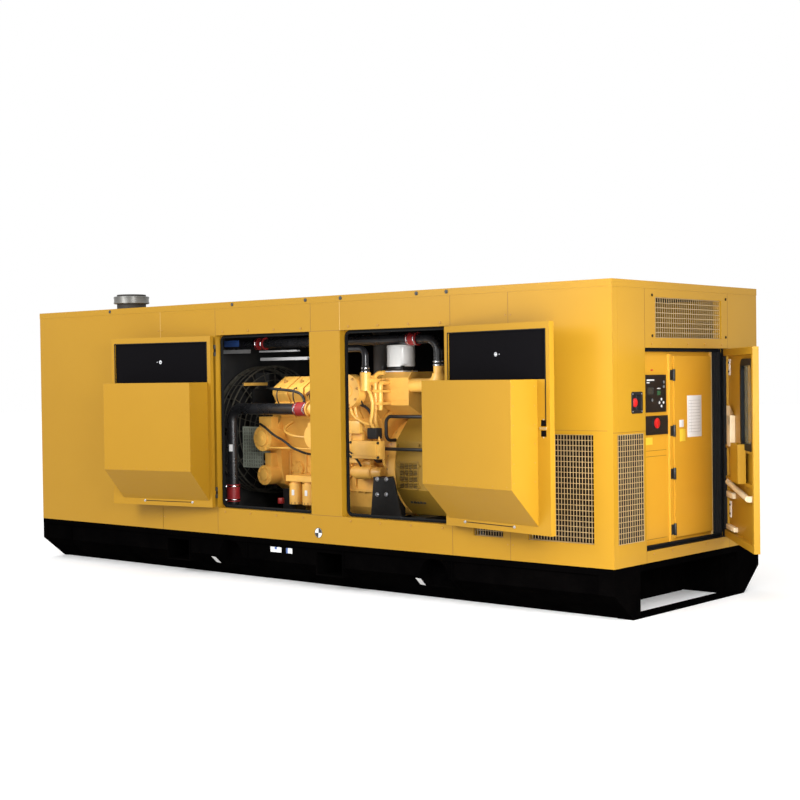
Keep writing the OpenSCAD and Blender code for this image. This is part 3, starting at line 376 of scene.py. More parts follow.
sealer = painted(
    "joint_sealer", (0.20, 0.095, 0.010), (0.16, 0.075, 0.009), patch=6.0, grain=400.0, roughness=0.6,
    spread=0.1,
)
wall_low, wall_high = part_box("front_wall_left")
front_y = wall_low.y
base_top, lip_z = wall_low.z, wall_high.z
header_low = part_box("front_header")[0].z
sill_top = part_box("front_sill")[1].z
pillar_low, pillar_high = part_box("front_pillar")
left_pin = Vector(joints["left_door_hinge"]["pos_m"])
right_pin = Vector(joints["right_door_hinge"]["pos_m"])
near_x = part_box("near_sill")[1].x
end_low_y, end_high_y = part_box("near_sill")[0].y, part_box("near_sill")[1].y
end_low_z, end_top_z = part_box("near_sill")[1].z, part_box("near_header")[0].z

JOINT_W, JOINT_OUT = 0.0035, 0.0006
# How far films, joints and fittings are sunk into what carries them.
SUNK = 0.001
FAR_SEAM_X, NEAR_SEAM_X = -1.550, 2.521
CORNER_SEAM_X, CORNER_SEAM_Z, END_SEAM_Z = (2.600, 3.400), 1.400, 1.385
half_joint = JOINT_W / 2
bm = bmesh.new()
for x, z0, z1 in (
    (FAR_SEAM_X, base_top, header_low), (left_pin.x, header_low, lip_z), (right_pin.x, header_low, lip_z),
    (pillar_low.x + 0.017, header_low, lip_z), (NEAR_SEAM_X, base_top, lip_z),
    (FAR_SEAM_X, 0.42, 0.60), (left_pin.x, base_top, sill_top), (right_pin.x, base_top, sill_top),
):
    add_box(bm, (x - half_joint, front_y - JOINT_OUT, z0), (x + half_joint, front_y + SUNK, z1))
    add_box(bm, (x - half_joint, -front_y - SUNK, z0), (x + half_joint, -front_y + JOINT_OUT, z1))
for x0, x1, z in ((pillar_low.x, pillar_high.x, header_low), (pillar_low.x, pillar_high.x, sill_top),
                  (*CORNER_SEAM_X, CORNER_SEAM_Z)):
    add_box(bm, (x0, front_y - JOINT_OUT, z - half_joint), (x1, front_y + SUNK, z + half_joint))
for y, z0, z1 in (
    (end_low_y, end_top_z, lip_z), (end_high_y, end_top_z, lip_z), (end_low_y, base_top, end_low_z),
    (end_high_y, base_top, end_low_z),
):
    add_box(bm, (near_x - SUNK, y - half_joint, z0), (near_x + JOINT_OUT, y + half_joint, z1))
for y0, y1 in ((front_y, end_low_y), (end_high_y, -front_y)):
    add_box(bm, (near_x - SUNK, y0, END_SEAM_Z - half_joint),
            (near_x + JOINT_OUT, y1, END_SEAM_Z + half_joint))
finish_piece("panel_joint_sealer", bm, sealer)
# Two of the header's seams are drawn as pale lines, a painted highlight along their edges.
painted_highlight = painted(
    "painted_highlight", (0.66, 0.44, 0.16), (0.60, 0.38, 0.12), patch=6.0, grain=400.0, roughness=0.5, spread=0.1
)
bm = bmesh.new()
for x in (FAR_SEAM_X, pillar_high.x):
    for side in (-1, 1):
        add_box(bm, (x - half_joint, side * -front_y - JOINT_OUT, header_low),
                (x + half_joint, side * -front_y + JOINT_OUT, lip_z))
finish_piece("header_seam_highlight", bm, painted_highlight)

# Button-head screws along the doorway edges and the corner folds, in the same enamel.
screw_enamel = painted(
    "screw_enamel", (0.40, 0.20, 0.018), (0.34, 0.165, 0.016), patch=30.0, grain=500.0, roughness=0.38,
    spread=0.1,
)


def add_button(bm, seat, axis, radius):
    """A low button-head screw."""
    seat, axis = Vector(seat), Vector(axis)
    add_rod(bm, seat - axis * 0.0005, seat + axis * radius * 0.35, radius, 14)
    add_rod(bm, seat + axis * radius * 0.34, seat + axis * radius * 0.62, radius * 0.86, 14, radius * 0.45)


BIG_SCREW, END_SCREW, SMALL_SCREW = 0.010, 0.009, 0.007
SCREW_PROUD, SCREW_IN = 0.0016, 0.030
bm = bmesh.new()
for side in (-1, 1):
    out = (0, side, 0)
    # On the plain rear side the screws are countersunk, with heads less than 2 mm proud.
    big_y, small_y = (
        side * (-front_y - (radius * 0.62 - SCREW_PROUD if side > 0 else 0))
        for radius in (BIG_SCREW, SMALL_SCREW)
    )
    for pin_x, way in ((left_pin.x, 1), (right_pin.x, -1)):
        for step in range(4):
            x = pin_x + way * (0.10 + step * 0.33)
            add_button(bm, (x, big_y, header_low + SCREW_IN), out, BIG_SCREW)
            add_button(bm, (x, big_y, sill_top - SCREW_IN), out, BIG_SCREW)
    for x in (FAR_SEAM_X - 0.025, FAR_SEAM_X + 0.025, NEAR_SEAM_X - 0.025, NEAR_SEAM_X + 0.025):
        for step in range(8):
            add_button(bm, (x, small_y, 0.52 + step * 0.25), out, SMALL_SCREW)
for step in range(5):
    y = end_low_y + 0.10 + step * (end_high_y - end_low_y - 0.20) / 4
    for z in (end_top_z + SCREW_IN, end_low_z - 0.025):
        add_button(bm, (near_x, y, z), (1, 0, 0), END_SCREW)
finish_piece("panel_screws", bm, screw_enamel)

# Plugged lifting points in the roof's turned-down edge, on the side with the doors.
plug_y, plug_z, PLUG_R, PLUG_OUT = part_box("roof")[0].y, lip_z + 0.030, 0.016, 0.005
bm = bmesh.new()
for x in (-2.30, -0.55, 0.370, 0.781, 1.615, 1.924):
    add_rod(bm, (x, plug_y + SUNK, plug_z), (x, plug_y - PLUG_OUT, plug_z), PLUG_R, 20, edge=0.002)
    add_rod(bm, (x, plug_y, plug_z), (x, plug_y - PLUG_OUT - 0.004, plug_z), PLUG_R / 2, 6)
finish_piece("roof_edge_plugs", bm, painted(
    "plug_black", (0.03, 0.03, 0.03), (0.05, 0.05, 0.05), patch=20.0, grain=300.0, roughness=0.5, spread=0.1
))

# Round black and white target that marks the lifting balance point, a film stuck on the sill.
MARKER_X, MARKER_Z, MARKER_R = 0.486, 0.487, 0.044
marker_white = painted(
    "marker_white", (0.86, 0.86, 0.84), (0.80, 0.80, 0.78), roughness=0.45, spread=0.05, bump=0.0
)
marker_black = painted(
    "marker_black", (0.02, 0.02, 0.02), (0.03, 0.03, 0.03), roughness=0.45, spread=0.05, bump=0.0
)
for name, radius, material, out in (("marker_rim", MARKER_R, marker_black, 0.0007),
                                    ("marker_disc", MARKER_R * 0.90, marker_white, 0.0010)):
    bm = bmesh.new()
    add_rod(bm, (MARKER_X, front_y + SUNK, MARKER_Z), (MARKER_X, front_y - out, MARKER_Z), radius, 48)
    finish_piece(name, bm, material)
bm = bmesh.new()
for start in (0, 180):
    turn = Matrix.Rotation(radians(start), 3, "Z")
    ends = [bm.verts.new(turn @ Vector((x, 0, 0))) for x in (0.0004, MARKER_R * 0.88)]
    arm = bm.edges.new(ends)
    bmesh.ops.spin(bm, geom=ends + [arm], cent=(0, 0, 0), axis=(0, 0, 1), angle=radians(90), steps=16)
bmesh.ops.recalc_face_normals(bm, faces=bm.faces)
bmesh.ops.solidify(bm, geom=bm.faces, thickness=0.0005)
marker_seat = Matrix.Translation((MARKER_X, front_y - 0.0012, MARKER_Z))
marker_place = marker_seat @ Matrix.Rotation(radians(90), 4, "X")
finish_piece("marker_quarters", bm, marker_black, place=marker_place)


# ---- Tank base ----
# Welded plate rails with fork pockets and round lifting recesses, closed by plate frames at both ends,
# round a black fuel tank. All of it has a deep black enamel with a little dust near the ground.
base_black = painted(
    "base_black_enamel", (0.0008, 0.0007, 0.0008), (0.0016, 0.0014, 0.0014), patch=2.2, grain=160.0,
    roughness=0.42, spread=0.22, bump=0.06, dust=0.004, dust_height=0.42, Specular_IOR_Level=0.0,
)
for node in ("base_front_rail", "base_rear_rail", "base_near_frame", "base_far_frame"):
    refine(node, base_black, edge=0.003)
dress(base_black, "fuel_tank")

# Bare films on the rails: two under the lip, partly blue, and one on the slope beside each lifting recess.
white_film = painted(
    "white_film", (0.84, 0.84, 0.83), (0.78, 0.78, 0.77), patch=9.0, roughness=0.5, spread=0.08
)
blue_film = painted(
    "blue_film", (0.03, 0.09, 0.32), (0.04, 0.11, 0.36), patch=9.0, roughness=0.5, spread=0.08
)
web_y = front_y + 0.016
FILM_OUT, BLUE_OUT = 0.0012, 0.0017
SLOPE, SLOPE_FILM = radians(51.2), (0.052, 0.0012, 0.100)
under_lip, blue, on_slope = bmesh.new(), bmesh.new(), bmesh.new()
for x, w in ((-0.052, 0.136), (0.113, 0.074)):
    for side in (-1, 1):
        add_box(under_lip, (x - w / 2, side * -web_y - FILM_OUT, 0.2835),
                (x + w / 2, side * -web_y + FILM_OUT, 0.3285))
for side in (-1, 1):
    for x0, x1, z0, z1 in ((-0.068, -0.040, 0.308, 0.328), (0.077, 0.096, 0.284, 0.3285)):
        add_box(blue, (x0, side * -web_y - BLUE_OUT, z0), (x1, side * -web_y + BLUE_OUT, z1))
for x in (-0.889, 1.564):
    for side in (-1, 1):
        add_plate(
            on_slope, SLOPE_FILM, Matrix.Translation((x, side * -(front_y + 0.0657), 0.152))
            @ Matrix.Rotation(side * -SLOPE, 4, "X") @ Matrix.Rotation(radians(8), 4, "Y"),
        )
finish_piece("rail_plates", under_lip, white_film)
finish_piece("rail_film_blue", blue, blue_film)
finish_piece("lifting_plates", on_slope, white_film)

# Floor plate over the tank, trodden and dusty.
floor_black = painted(
    "floor_black_enamel", (0.016, 0.016, 0.017), (0.030, 0.028, 0.026), patch=4.0, grain=120.0,
    roughness=0.5, spread=0.3, bump=0.1, dust=0.5, dust_height=0.5,
)
dress(floor_black, "floor_plate")


# ---- Lining, grilles and roof discharge ----
# Black open-cell foam lines the walls inside. Welded square mesh stands in the cut-outs: pale yellow in the
# walls, black in the roof over the radiator's discharge.
# Open cells: a height that dips into each cell, and a painted shade that darkens the cell's hollow.
foam_group, given, result = new_group(
    "Open Cells", [("Scale", "Float", 320.0), ("Depth", "Float", 1.0)],
    [("Height", "Float"), ("Shade", "Float")],
)
voronoi = place_node(foam_group, "TexVoronoi", {"Vector": on_object(foam_group), "Scale": given["Scale"]})
cells = voronoi.outputs["Distance"]
foam_group.links.new(work_out(foam_group, "MULTIPLY", cells, given["Depth"]), result["Height"])
foam_group.links.new(spread_between(foam_group, cells, 0.0, 0.8, 0.45, 1.0), result["Shade"])


def foam(name, colour, scale, strength):
    """Open-cell foam: its tone darkens in the cells' hollows, a painted shade."""
    material, tree, shader = new_material(name, Roughness=0.92, Specular_IOR_Level=0.06)
    cells = place_node(tree, "Group", node_tree=foam_group)
    cells.inputs["Scale"].default_value = scale
    tint = blend(tree, cells.outputs["Shade"], rgb(*(c * 0.4 for c in colour)), rgb(*colour))
    connect(tree, shader, tint, relief=(strength, 0.003, cells.outputs["Height"]))
    return material


lining_foam = foam("black_lining_foam", (0.0090, 0.0084, 0.0096), 260.0, 0.5)
dress(lining_foam, "wall_lining")
grille_enamel = painted(
    "grille_enamel", (0.40, 0.28, 0.13), (0.34, 0.23, 0.10), patch=8.0, grain=300.0, roughness=0.42,
    spread=0.12,
)
MESH_BAR, MESH_T, MESH_IN = 0.0048, 0.003, 0.016


def weld_mesh(bm, corner, across, out, width, height, columns, rows):
    """Flat bars welded crosswise over a cut-out, from its lower corner, the upright ones in front."""
    corner, across, out = Vector(corner), Vector(across), Vector(out)
    up = Vector((0, 0, 1))
    for step in range(columns + 1):
        at = corner + across * (MESH_BAR / 2 + step * (width - MESH_BAR) / columns)
        add_box(bm, at - across * MESH_BAR / 2 - out * MESH_T, at + across * MESH_BAR / 2 + up * height)
    for step in range(rows + 1):
        at = corner + up * (MESH_BAR / 2 + step * (height - MESH_BAR) / rows) - out * MESH_T * 0.6
        add_box(bm, at - up * MESH_BAR / 2 - out * MESH_T, at + up * MESH_BAR / 2 + across * width)


grille_low, grille_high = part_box("side_grilles")
grille_h = grille_high.z - grille_low.z
MESH_COLUMNS, MESH_ROWS = 11, 20
bm = bmesh.new()
for side in (-1, 1):
    y = side * (abs(front_y) - MESH_IN)
    for x0, x1, columns in ((2.1643, 2.4507, MESH_COLUMNS), (2.6863, 3.2797, 2 * MESH_COLUMNS)):
        weld_mesh(bm, (x0, y, grille_low.z), (1, 0, 0), (0, side, 0), x1 - x0, grille_h, columns, MESH_ROWS)
side_mesh = finish_piece("side_grille_mesh", bm, grille_enamel)
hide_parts("side_grilles")
END_GRILLE_Y, END_GRILLE_W, END_GRILLE_OUT = -1.0407, 0.3464, 0.0042
TOP_GRILLE_W, TOP_GRILLE_Z, TOP_GRILLE_H = 1.0094, 2.0783, 0.3044
bm = bmesh.new()
for corner, width, height, columns, rows in (
    ((near_x + END_GRILLE_OUT, END_GRILLE_Y, grille_low.z), END_GRILLE_W, grille_h, MESH_COLUMNS, MESH_ROWS),
    ((near_x - MESH_IN, -TOP_GRILLE_W / 2, TOP_GRILLE_Z), TOP_GRILLE_W, TOP_GRILLE_H, 31, 8),
):
    weld_mesh(bm, corner, (0, 1, 0), (1, 0, 0), width, height, columns, rows)
near_mesh = finish_piece("near_grille_mesh", bm, grille_enamel)
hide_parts("near_grilles")
mesh_black = painted(
    "mesh_black", (0.006, 0.006, 0.006), (0.010, 0.010, 0.010), patch=12.0, grain=300.0, roughness=0.6,
    spread=0.1, Specular_IOR_Level=0.1,
)
dress(mesh_black, "roof_grille")
# The small mesh beside the end doorway is wider than its cut-out, so a dark sheet backs its whole width, painted
# shade seen through the mesh.
bm = bmesh.new()
add_box(bm, (near_x - 0.0005, END_GRILLE_Y, grille_low.z),
        (near_x + 0.0006, END_GRILLE_Y + END_GRILLE_W, grille_high.z))
finish_piece("end_grille_shade_sheet", bm, mesh_black)
bm = bmesh.new()
for y in (-0.550, 0.575):
    for z in (TOP_GRILLE_Z + 0.014, TOP_GRILLE_Z + TOP_GRILLE_H + 0.014):
        add_button(bm, (near_x, y, z), (1, 0, 0), 0.011)
finish_piece("top_grille_screws", bm, mesh_black)

# Dark baffle blades a hand's breadth behind the wall grilles stop a look in, and a dark sheet behind them is
# painted shade of the dark inside.
BLADES, BLADE_W, BLADE_T, BLADE_TURN = 8, 0.14, 0.002, 42
bm = bmesh.new()
# The dark sheet: painted shade behind the blades.
for side in (-1, 1):
    back_y = side * (abs(front_y) - 0.200)
    add_box(bm, (2.150, back_y - 0.001, grille_low.z - 0.01), (3.300, back_y + 0.001, grille_high.z + 0.01))
for x0, x1 in ((2.160, 2.455), (2.682, 3.284)):
    for side in (-1, 1):
        for step in range(BLADES):
            y = side * (abs(front_y) - 0.085) - side * 0.055
            z = grille_low.z + 0.02 + step * (grille_h - 0.04) / (BLADES - 1)
            add_plate(
                bm, (x1 - x0 + 0.02, BLADE_W, BLADE_T), Matrix.Translation(((x0 + x1) / 2, y, z))
                @ Matrix.Rotation(radians(side * BLADE_TURN), 4, "X"),
            )
finish_piece("intake_blades_and_shade_sheet", bm, mesh_black)


# ---- Doorway frames, seals and hinges ----
# A welded steel flange stops each door, with a ribbed black rubber seal pushed on it. The hinges are black
# three-knuckle butts on pins, bolted to wall and door.
ribbed_rubber, tree, shader = new_material("ribbed_rubber", Roughness=0.6, Specular_IOR_Level=0.12)
noise = place_node(tree, "TexNoise", {"Vector": on_object(tree), "Scale": 60.0, "Detail": 4.0})
cloud = noise.outputs["Fac"]
shade = blend(tree, cloud, rgb(0.0040, 0.0048, 0.0056), rgb(0.0090, 0.0105, 0.0120))
connect(tree, shader, shade, relief=(0.15, 0.002, cloud))
refine("door_seals", ribbed_rubber, edge=0.002)

hinge_black = painted(
    "hinge_black", (0.007, 0.007, 0.007), (0.013, 0.0125, 0.012), patch=40.0, grain=500.0, roughness=0.42,
    spread=0.2,
)
refine("door_hinges", hinge_black, edge=0.001)


def rounded_outline(bm, low, high, radius):
    """A face with rounded corners in the XZ plane, between two corners."""
    made = bmesh.ops.create_grid(
        bm, x_segments=1, y_segments=1, size=0.5,
        matrix=Matrix.Translation(((low[0] + high[0]) / 2, 0, (low[1] + high[1]) / 2))
        @ Matrix.Rotation(radians(90), 4, "X") @ Matrix.Diagonal((high[0] - low[0], high[1] - low[1], 1, 1)),
    )
    bmesh.ops.bevel(
        bm, geom=made["verts"], offset=radius, segments=8, profile=0.5, affect="VERTICES", material=-1
    )
    return bm.faces[:]


def ring_section(low, high, radius, y0, y1, width):
    """A flat frame of a given width with rounded corners, as deep as from y0 to y1."""
    bm = bmesh.new()
    faces = rounded_outline(bm, low, high, radius)
    inner = bmesh.ops.inset_region(
        bm, faces=faces, thickness=width, use_even_offset=True, use_boundary=True
    )
    bmesh.ops.delete(bm, geom=[f for f in bm.faces if f not in inner["faces"]], context="FACES")
    bmesh.ops.translate(bm, vec=(0, y0, 0), verts=bm.verts)
    thick = bmesh.ops.extrude_face_region(bm, geom=bm.faces[:])
    bmesh.ops.translate(
        bm, vec=(0, y1 - y0, 0), verts=[v for v in thick["geom"] if isinstance(v, bmesh.types.BMVert)]
    )
    return bm


# Black rubber trim is pushed over each doorway's flange, inside the line of its seal.
TRIM_Y0, TRIM_Y1, TRIM_W, TRIM_R, TRIM_GAP = 0.0592, 0.0705, 0.0268, 0.0568, 0.001
for name, place, width, height in (
    ("left", Matrix.Translation((left_pin.x, front_y, sill_top)), pillar_low.x - left_pin.x,
     header_low - sill_top),
    ("right", Matrix.Translation((pillar_high.x, front_y, sill_top)), right_pin.x - pillar_high.x,
     header_low - sill_top),
    ("end", Matrix.Translation((near_x, end_low_y, end_low_z)) @ Matrix.Rotation(radians(90), 4, "Z"),
     end_high_y - end_low_y, end_top_z - end_low_z),
):
    bm = ring_section(
        (TRIM_GAP, TRIM_GAP), (width - TRIM_GAP, height - TRIM_GAP), TRIM_R, TRIM_Y0, TRIM_Y1, TRIM_W
    )
    finish_piece(name + "_doorway_trim", bm, ribbed_rubber, place=place)

# The control end's doorway is also lined with black rubber sheet, and has a folded rubber curtain behind its
# flange on the hinge side.
SHEET_T, SHEET_SUNK = 0.0012, 0.0005
FOLDS, FOLD_PITCH, FOLD_R, CURTAIN_GAP = 4, 0.018, 0.0105, 0.004
sheet_x0, sheet_x1 = near_x - 0.069, near_x - 0.006
bm = bmesh.new()
for y0, y1 in (
    (end_high_y - SHEET_T, end_high_y + SHEET_SUNK), (end_low_y - SHEET_SUNK, end_low_y + SHEET_T)
):
    add_box(bm, (sheet_x0, y0, end_low_z), (sheet_x1, y1, end_top_z))
for z0, z1 in ((end_low_z - SHEET_SUNK, end_low_z + SHEET_T), (end_top_z - SHEET_T, end_top_z + SHEET_SUNK)):
    add_box(bm, (sheet_x0, end_low_y, z0), (sheet_x1, end_high_y, z1))
for fold in range(1, FOLDS + 1):
    x, y = near_x - 0.132 + fold * FOLD_PITCH, end_high_y - 0.034
    add_rod(bm, (x, y, end_low_z + CURTAIN_GAP), (x, y, end_top_z - CURTAIN_GAP), FOLD_R, 16)
finish_piece("jamb_rubber", bm, ribbed_rubber)
# A pale strip behind the curtain's folds is a painted highlight on the rubber.
bm = bmesh.new()
add_box(bm, (near_x - 0.1440, end_high_y - 0.046, end_low_z + CURTAIN_GAP),
        (near_x - 0.1260, end_high_y - 0.028, end_top_z - CURTAIN_GAP), 0.001)
finish_piece("jamb_highlight_strip", bm, painted_highlight)


# ---- Engine doors ----
# Each door is a folded yellow pan. A foam panel fills its recess, a sheet box with a sloping foot stands
# off it as a sound baffle, and the latch plate is on its free edge.
def door_place(joint, low_z, closed_degrees, mirrored):
    """From a door drawn shut, hinge edge first, to the same door where it hangs at rest."""
    pin = Vector(joint["pos_m"])
    place = Matrix.Translation((pin.x, pin.y, low_z)) @ Matrix.Rotation(radians(closed_degrees), 4, "Z")
    return place @ Matrix.Diagonal((-1, 1, 1, 1)) if mirrored else place


left_hinge, right_hinge, end_hinge = (joints[side + "_door_hinge"] for side in ("left", "right", "end"))
left_door = door_place(left_hinge, sill_top, left_hinge["range_deg"][0], False)
right_door = door_place(right_hinge, sill_top, -right_hinge["range_deg"][0], True)
end_door = door_place(end_hinge, end_low_z, 90 - end_hinge["range_deg"][0], True)

door_foam = foam("black_door_foam", (0.0040, 0.0036, 0.0046), 420.0, 0.25)
zinc, tree, shader = new_material("bright_zinc", Metallic=1.0)
spangle = place_node(tree, "TexVoronoi", {"Vector": on_object(tree), "Scale": 160.0})
connect(
    tree, shader, blend(tree, spangle.outputs["Color"], rgb(0.50, 0.51, 0.53), rgb(0.70, 0.71, 0.73)),
    spread_between(tree, spangle.outputs["Distance"], 0.0, 0.7, 0.26, 0.42),
)

DOOR_T, PIN_OUT = 0.045, 0.012
inner = PIN_OUT + DOOR_T
door_w, door_h = pillar_low.x - left_pin.x, header_low - sill_top
baffle_u, baffle_w, baffle_d = 0.040, door_w - 0.175, 0.262
baffle_turn, baffle_top = 0.346, door_h - 0.425
latch_u, latch_z = door_w - 0.111, 0.715
foam_y, pin_z = inner - 0.0125, door_h - 0.235
EDGING_OUT, EDGING_R = 0.004, 0.0012
KNUCKLE_R, KNUCKLE_LOW, KNUCKLE_HIGH = 0.0116, 0.033, 0.063
PIN_WASHER, PIN_GLINT, RIVET, RIM_RIVET = 0.017, 0.005, 0.005, 0.0045
for side, place in (("left", left_door), ("right", right_door)):
    body = side + "_engine_door"
    refine(side + "_door_panel", enamel, edge=0.003)
    refine(side + "_door_baffle", enamel, edge=0.0015)
    dress(door_foam, side + "_door_foam")
    refine(side + "_door_latch", enamel, edge=0.001)

    # Push-on rubber edge round the foam recess, a dark strip of painted shade in the gap under the baffle's foot,
    # and the sleeves on the hinge's moving knuckles.
    bm = bmesh.new()
    rubber_y = inner + EDGING_OUT
    for low, high in (
        ((0.044, inner, door_h - 0.064), (door_w - 0.044, rubber_y, door_h - 0.056)),
        ((0.044, inner, baffle_top), (0.052, rubber_y, door_h - 0.058)),
        ((door_w - 0.052, inner, baffle_top - 0.30), (door_w - 0.044, rubber_y, door_h - 0.058)),
    ):
        add_box(bm, low, high, EDGING_R)
    # Painted shade: a dark strip in the gap where the baffle's foot meets the door.
    add_box(bm, (0.245, inner - 0.0005, 0.044), (0.785, inner + 0.0012, 0.050))
    for z in (0.090, door_h - 0.186):
        add_rod(bm, (0, 0, z + KNUCKLE_LOW), (0, 0, z + KNUCKLE_HIGH), KNUCKLE_R, 24)
    finish_piece(side + "_door_edging_and_gap_shade", bm, ribbed_rubber, body, place=place)

    # The pin with its washer that holds the foam's middle, and beside it a small bright disc that is a painted
    # glint.
    bm = bmesh.new()
    for u, size in ((door_w * 0.50, PIN_WASHER), (door_w * 0.50 + 0.040, PIN_GLINT)):
        add_rod(bm, (u, foam_y, pin_z), (u, foam_y + 0.003, pin_z), size, 24)
        add_rod(bm, (u, foam_y + 0.002, pin_z), (u, foam_y + 0.009, pin_z), size * 0.45, 16, size * 0.25)
    finish_piece(side + "_foam_pin_and_glint", bm, zinc, body, place=place)

    # Pop rivets that hold the baffle's side sheets and its foot, and the screws of its top rim.
    bm = bmesh.new()
    face_y = inner + 0.0003 + baffle_d
    for step in range(6):
        w = baffle_turn + 0.05 + step * (baffle_top - baffle_turn - 0.10) / 5
        for u, way in ((baffle_u, -1), (baffle_u + baffle_w, 1)):
            add_button(bm, (u, face_y - 0.022, w), (way, 0, 0), RIVET)
            add_button(bm, (u, inner + 0.030, w), (way, 0, 0), RIVET)
    for step in range(7):
        u = baffle_u + 0.05 + step * (baffle_w - 0.10) / 6
        add_button(bm, (u, face_y, baffle_turn + 0.020), (0, 1, 0), RIM_RIVET)
    finish_piece(side + "_baffle_rivets", bm, screw_enamel, body, place=place)

    # The latch's keeper bar, the bolts through its plate and the two at the ends of the painted gap shade under
    # the baffle.
    bm = bmesh.new()
    add_box(bm, (latch_u + 0.003, inner + 0.006, latch_z + 0.061),
            (latch_u + 0.074, inner + 0.0095, latch_z + 0.079), 0.001)
    for w in (latch_z + 0.005, latch_z + 0.135):
        add_bolt(bm, (latch_u + 0.0385, inner + 0.0002, w), (0, 1, 0), 0.007)
    for u in (0.235, 0.795):
        add_bolt(bm, (u, inner + 0.0002, 0.047), (0, 1, 0), 0.014)
    finish_piece(side + "_latch_bolts", bm, zinc, body, place=place)


# ---- Control end door ----
# A folded yellow door with a bracket and a slanting stay across its inner face, and a tinted window held in
# a thick black rubber section.
refine("end_door_panel", enamel, edge=0.002)
glass, tree, shader = new_material("tinted_glass", Transmission_Weight=0.85, IOR=1.5, Metallic=0.0)
smear = place_node(tree, "TexNoise", {"Vector": on_object(tree), "Scale": 9.0, "Detail": 5.0}).outputs["Fac"]
connect(
    tree, shader, blend(tree, smear, rgb(0.42, 0.45, 0.40), rgb(0.52, 0.55, 0.50)),
    spread_between(tree, smear, 0.3, 0.8, 0.02, 0.10),
)
dress(glass, "end_door_window")

WINDOW_U, WINDOW_W, WINDOW_Z, WINDOW_H, WINDOW_R = 0.770, 0.400, 0.765, 0.630, 0.060
LAP = 0.030
bm = ring_section(
    (WINDOW_U - 0.045, WINDOW_Z - 0.025), (WINDOW_U + WINDOW_W + LAP, WINDOW_Z + WINDOW_H + LAP),
    WINDOW_R + LAP, PIN_OUT + 0.0135, PIN_OUT + 0.040, 0.050,
)
window_rubber = finish_piece(
    "window_rubber", bm, ribbed_rubber, "control_end_door", place=end_door
)
soften = window_rubber.modifiers.new("soft_edges", "BEVEL")
soften.width = 0.004
soften.segments = 3
soften.limit_method = "ANGLE"

# Folded bracket with its pointed top near the hinge edge, the slanting stay on two feet, and two folded
# rails.
pale_primer = painted(
    "pale_primer", (0.80, 0.68, 0.46), (0.74, 0.60, 0.38), patch=9.0, roughness=0.45, spread=0.1
)
skin_y = PIN_OUT + 0.005
BRACKET_U, BRACKET_TOP, BRACKET_OUT = (0.18, 0.33), 0.985, 0.040
bm = bmesh.new()
add_box(bm, (BRACKET_U[0], skin_y, 0.74), (BRACKET_U[1], skin_y + BRACKET_OUT, BRACKET_TOP), 0.002)
bmesh.ops.create_cone(
    bm, cap_ends=True, segments=4, radius1=0.106, radius2=0.020, depth=BRACKET_OUT,
    matrix=Matrix.Translation((sum(BRACKET_U) / 2, skin_y + BRACKET_OUT / 2, BRACKET_TOP))
    @ Matrix.Rotation(radians(90), 4, "X") @ Matrix.Rotation(radians(45), 4, "Z"),
)
finish_piece("end_door_bracket", bm, pale_primer, "control_end_door", place=end_door)
STAY_ENDS, STAY_R = ((0.17, 0.452), (1.02, 0.385)), 0.022
bm = bmesh.new()
add_rod(bm, (STAY_ENDS[0][0], skin_y + 0.030, STAY_ENDS[0][1]),
        (STAY_ENDS[1][0], skin_y + 0.036, STAY_ENDS[1][1]), STAY_R, 16)
add_box(bm, (0.08, skin_y, 0.33), (0.34, skin_y + 0.030, 0.375), 0.003)
add_box(bm, (0.08, skin_y, 0.075), (0.42, skin_y + 0.034, 0.110), 0.003)
for u, w in STAY_ENDS:
    add_box(bm, (u - STAY_R, skin_y, w - STAY_R), (u + STAY_R, skin_y + 0.040, w + STAY_R), 0.003)
finish_piece("end_door_stay", bm, pale_primer, "control_end_door", place=end_door)

# Two small white plates with their black bolts, and the rubber flap along the hinge edge.
plates, bolts = bmesh.new(), bmesh.new()
for w in (0.165, 1.30):
    add_box(plates, (0.075, skin_y, w), (0.150, skin_y + 0.004, w + 0.13), 0.001)
    for rise in (0.030, 0.100):
        add_bolt(bolts, (0.112, skin_y + 0.0040, w + rise), (0, 1, 0), 0.012)
finish_piece("end_door_hinge_plates", plates, white_film, "control_end_door", place=end_door)
finish_piece("end_door_bolts", bolts, hinge_black, "control_end_door", place=end_door)
end_h = end_top_z - end_low_z
bm = bmesh.new()
add_box(bm, (0.008, inner - 0.0005, 0.008), (0.059, inner + 0.001, end_h - 0.008))
add_box(bm, (0.0595, inner - 0.022, 0.062), (0.0612, inner, end_h - 0.062))
finish_piece("end_door_flap", bm, ribbed_rubber, "control_end_door", place=end_door)


# ---- Control cabinet ----
# A yellow switch cabinet behind the end doorway. Its door is shut on four lift-off hinges. The controller
# and the breaker's plate are beside it.
cabinet_enamel = painted(
    "cabinet_enamel", (0.680, 0.340, 0.026), (0.650, 0.320, 0.024), patch=1.2, grain=300.0, roughness=0.40,
    spread=0.10, bump=0.03, Specular_IOR_Level=0.3,
)
refine("cabinet", cabinet_enamel, edge=0.003)
refine("cabinet_door", cabinet_enamel, edge=0.003)
leaf_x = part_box("cabinet_door")[0].x + 0.0197

LABEL_SUNK, LABEL_OUT, LABEL_EDGE = 0.0005, 0.0012, 0.0004


def add_label(bm, x, low, high):
    """A thin plate on a face that looks along X."""
    add_box(bm, (x - LABEL_SUNK, *low), (x + LABEL_OUT, *high), LABEL_EDGE)


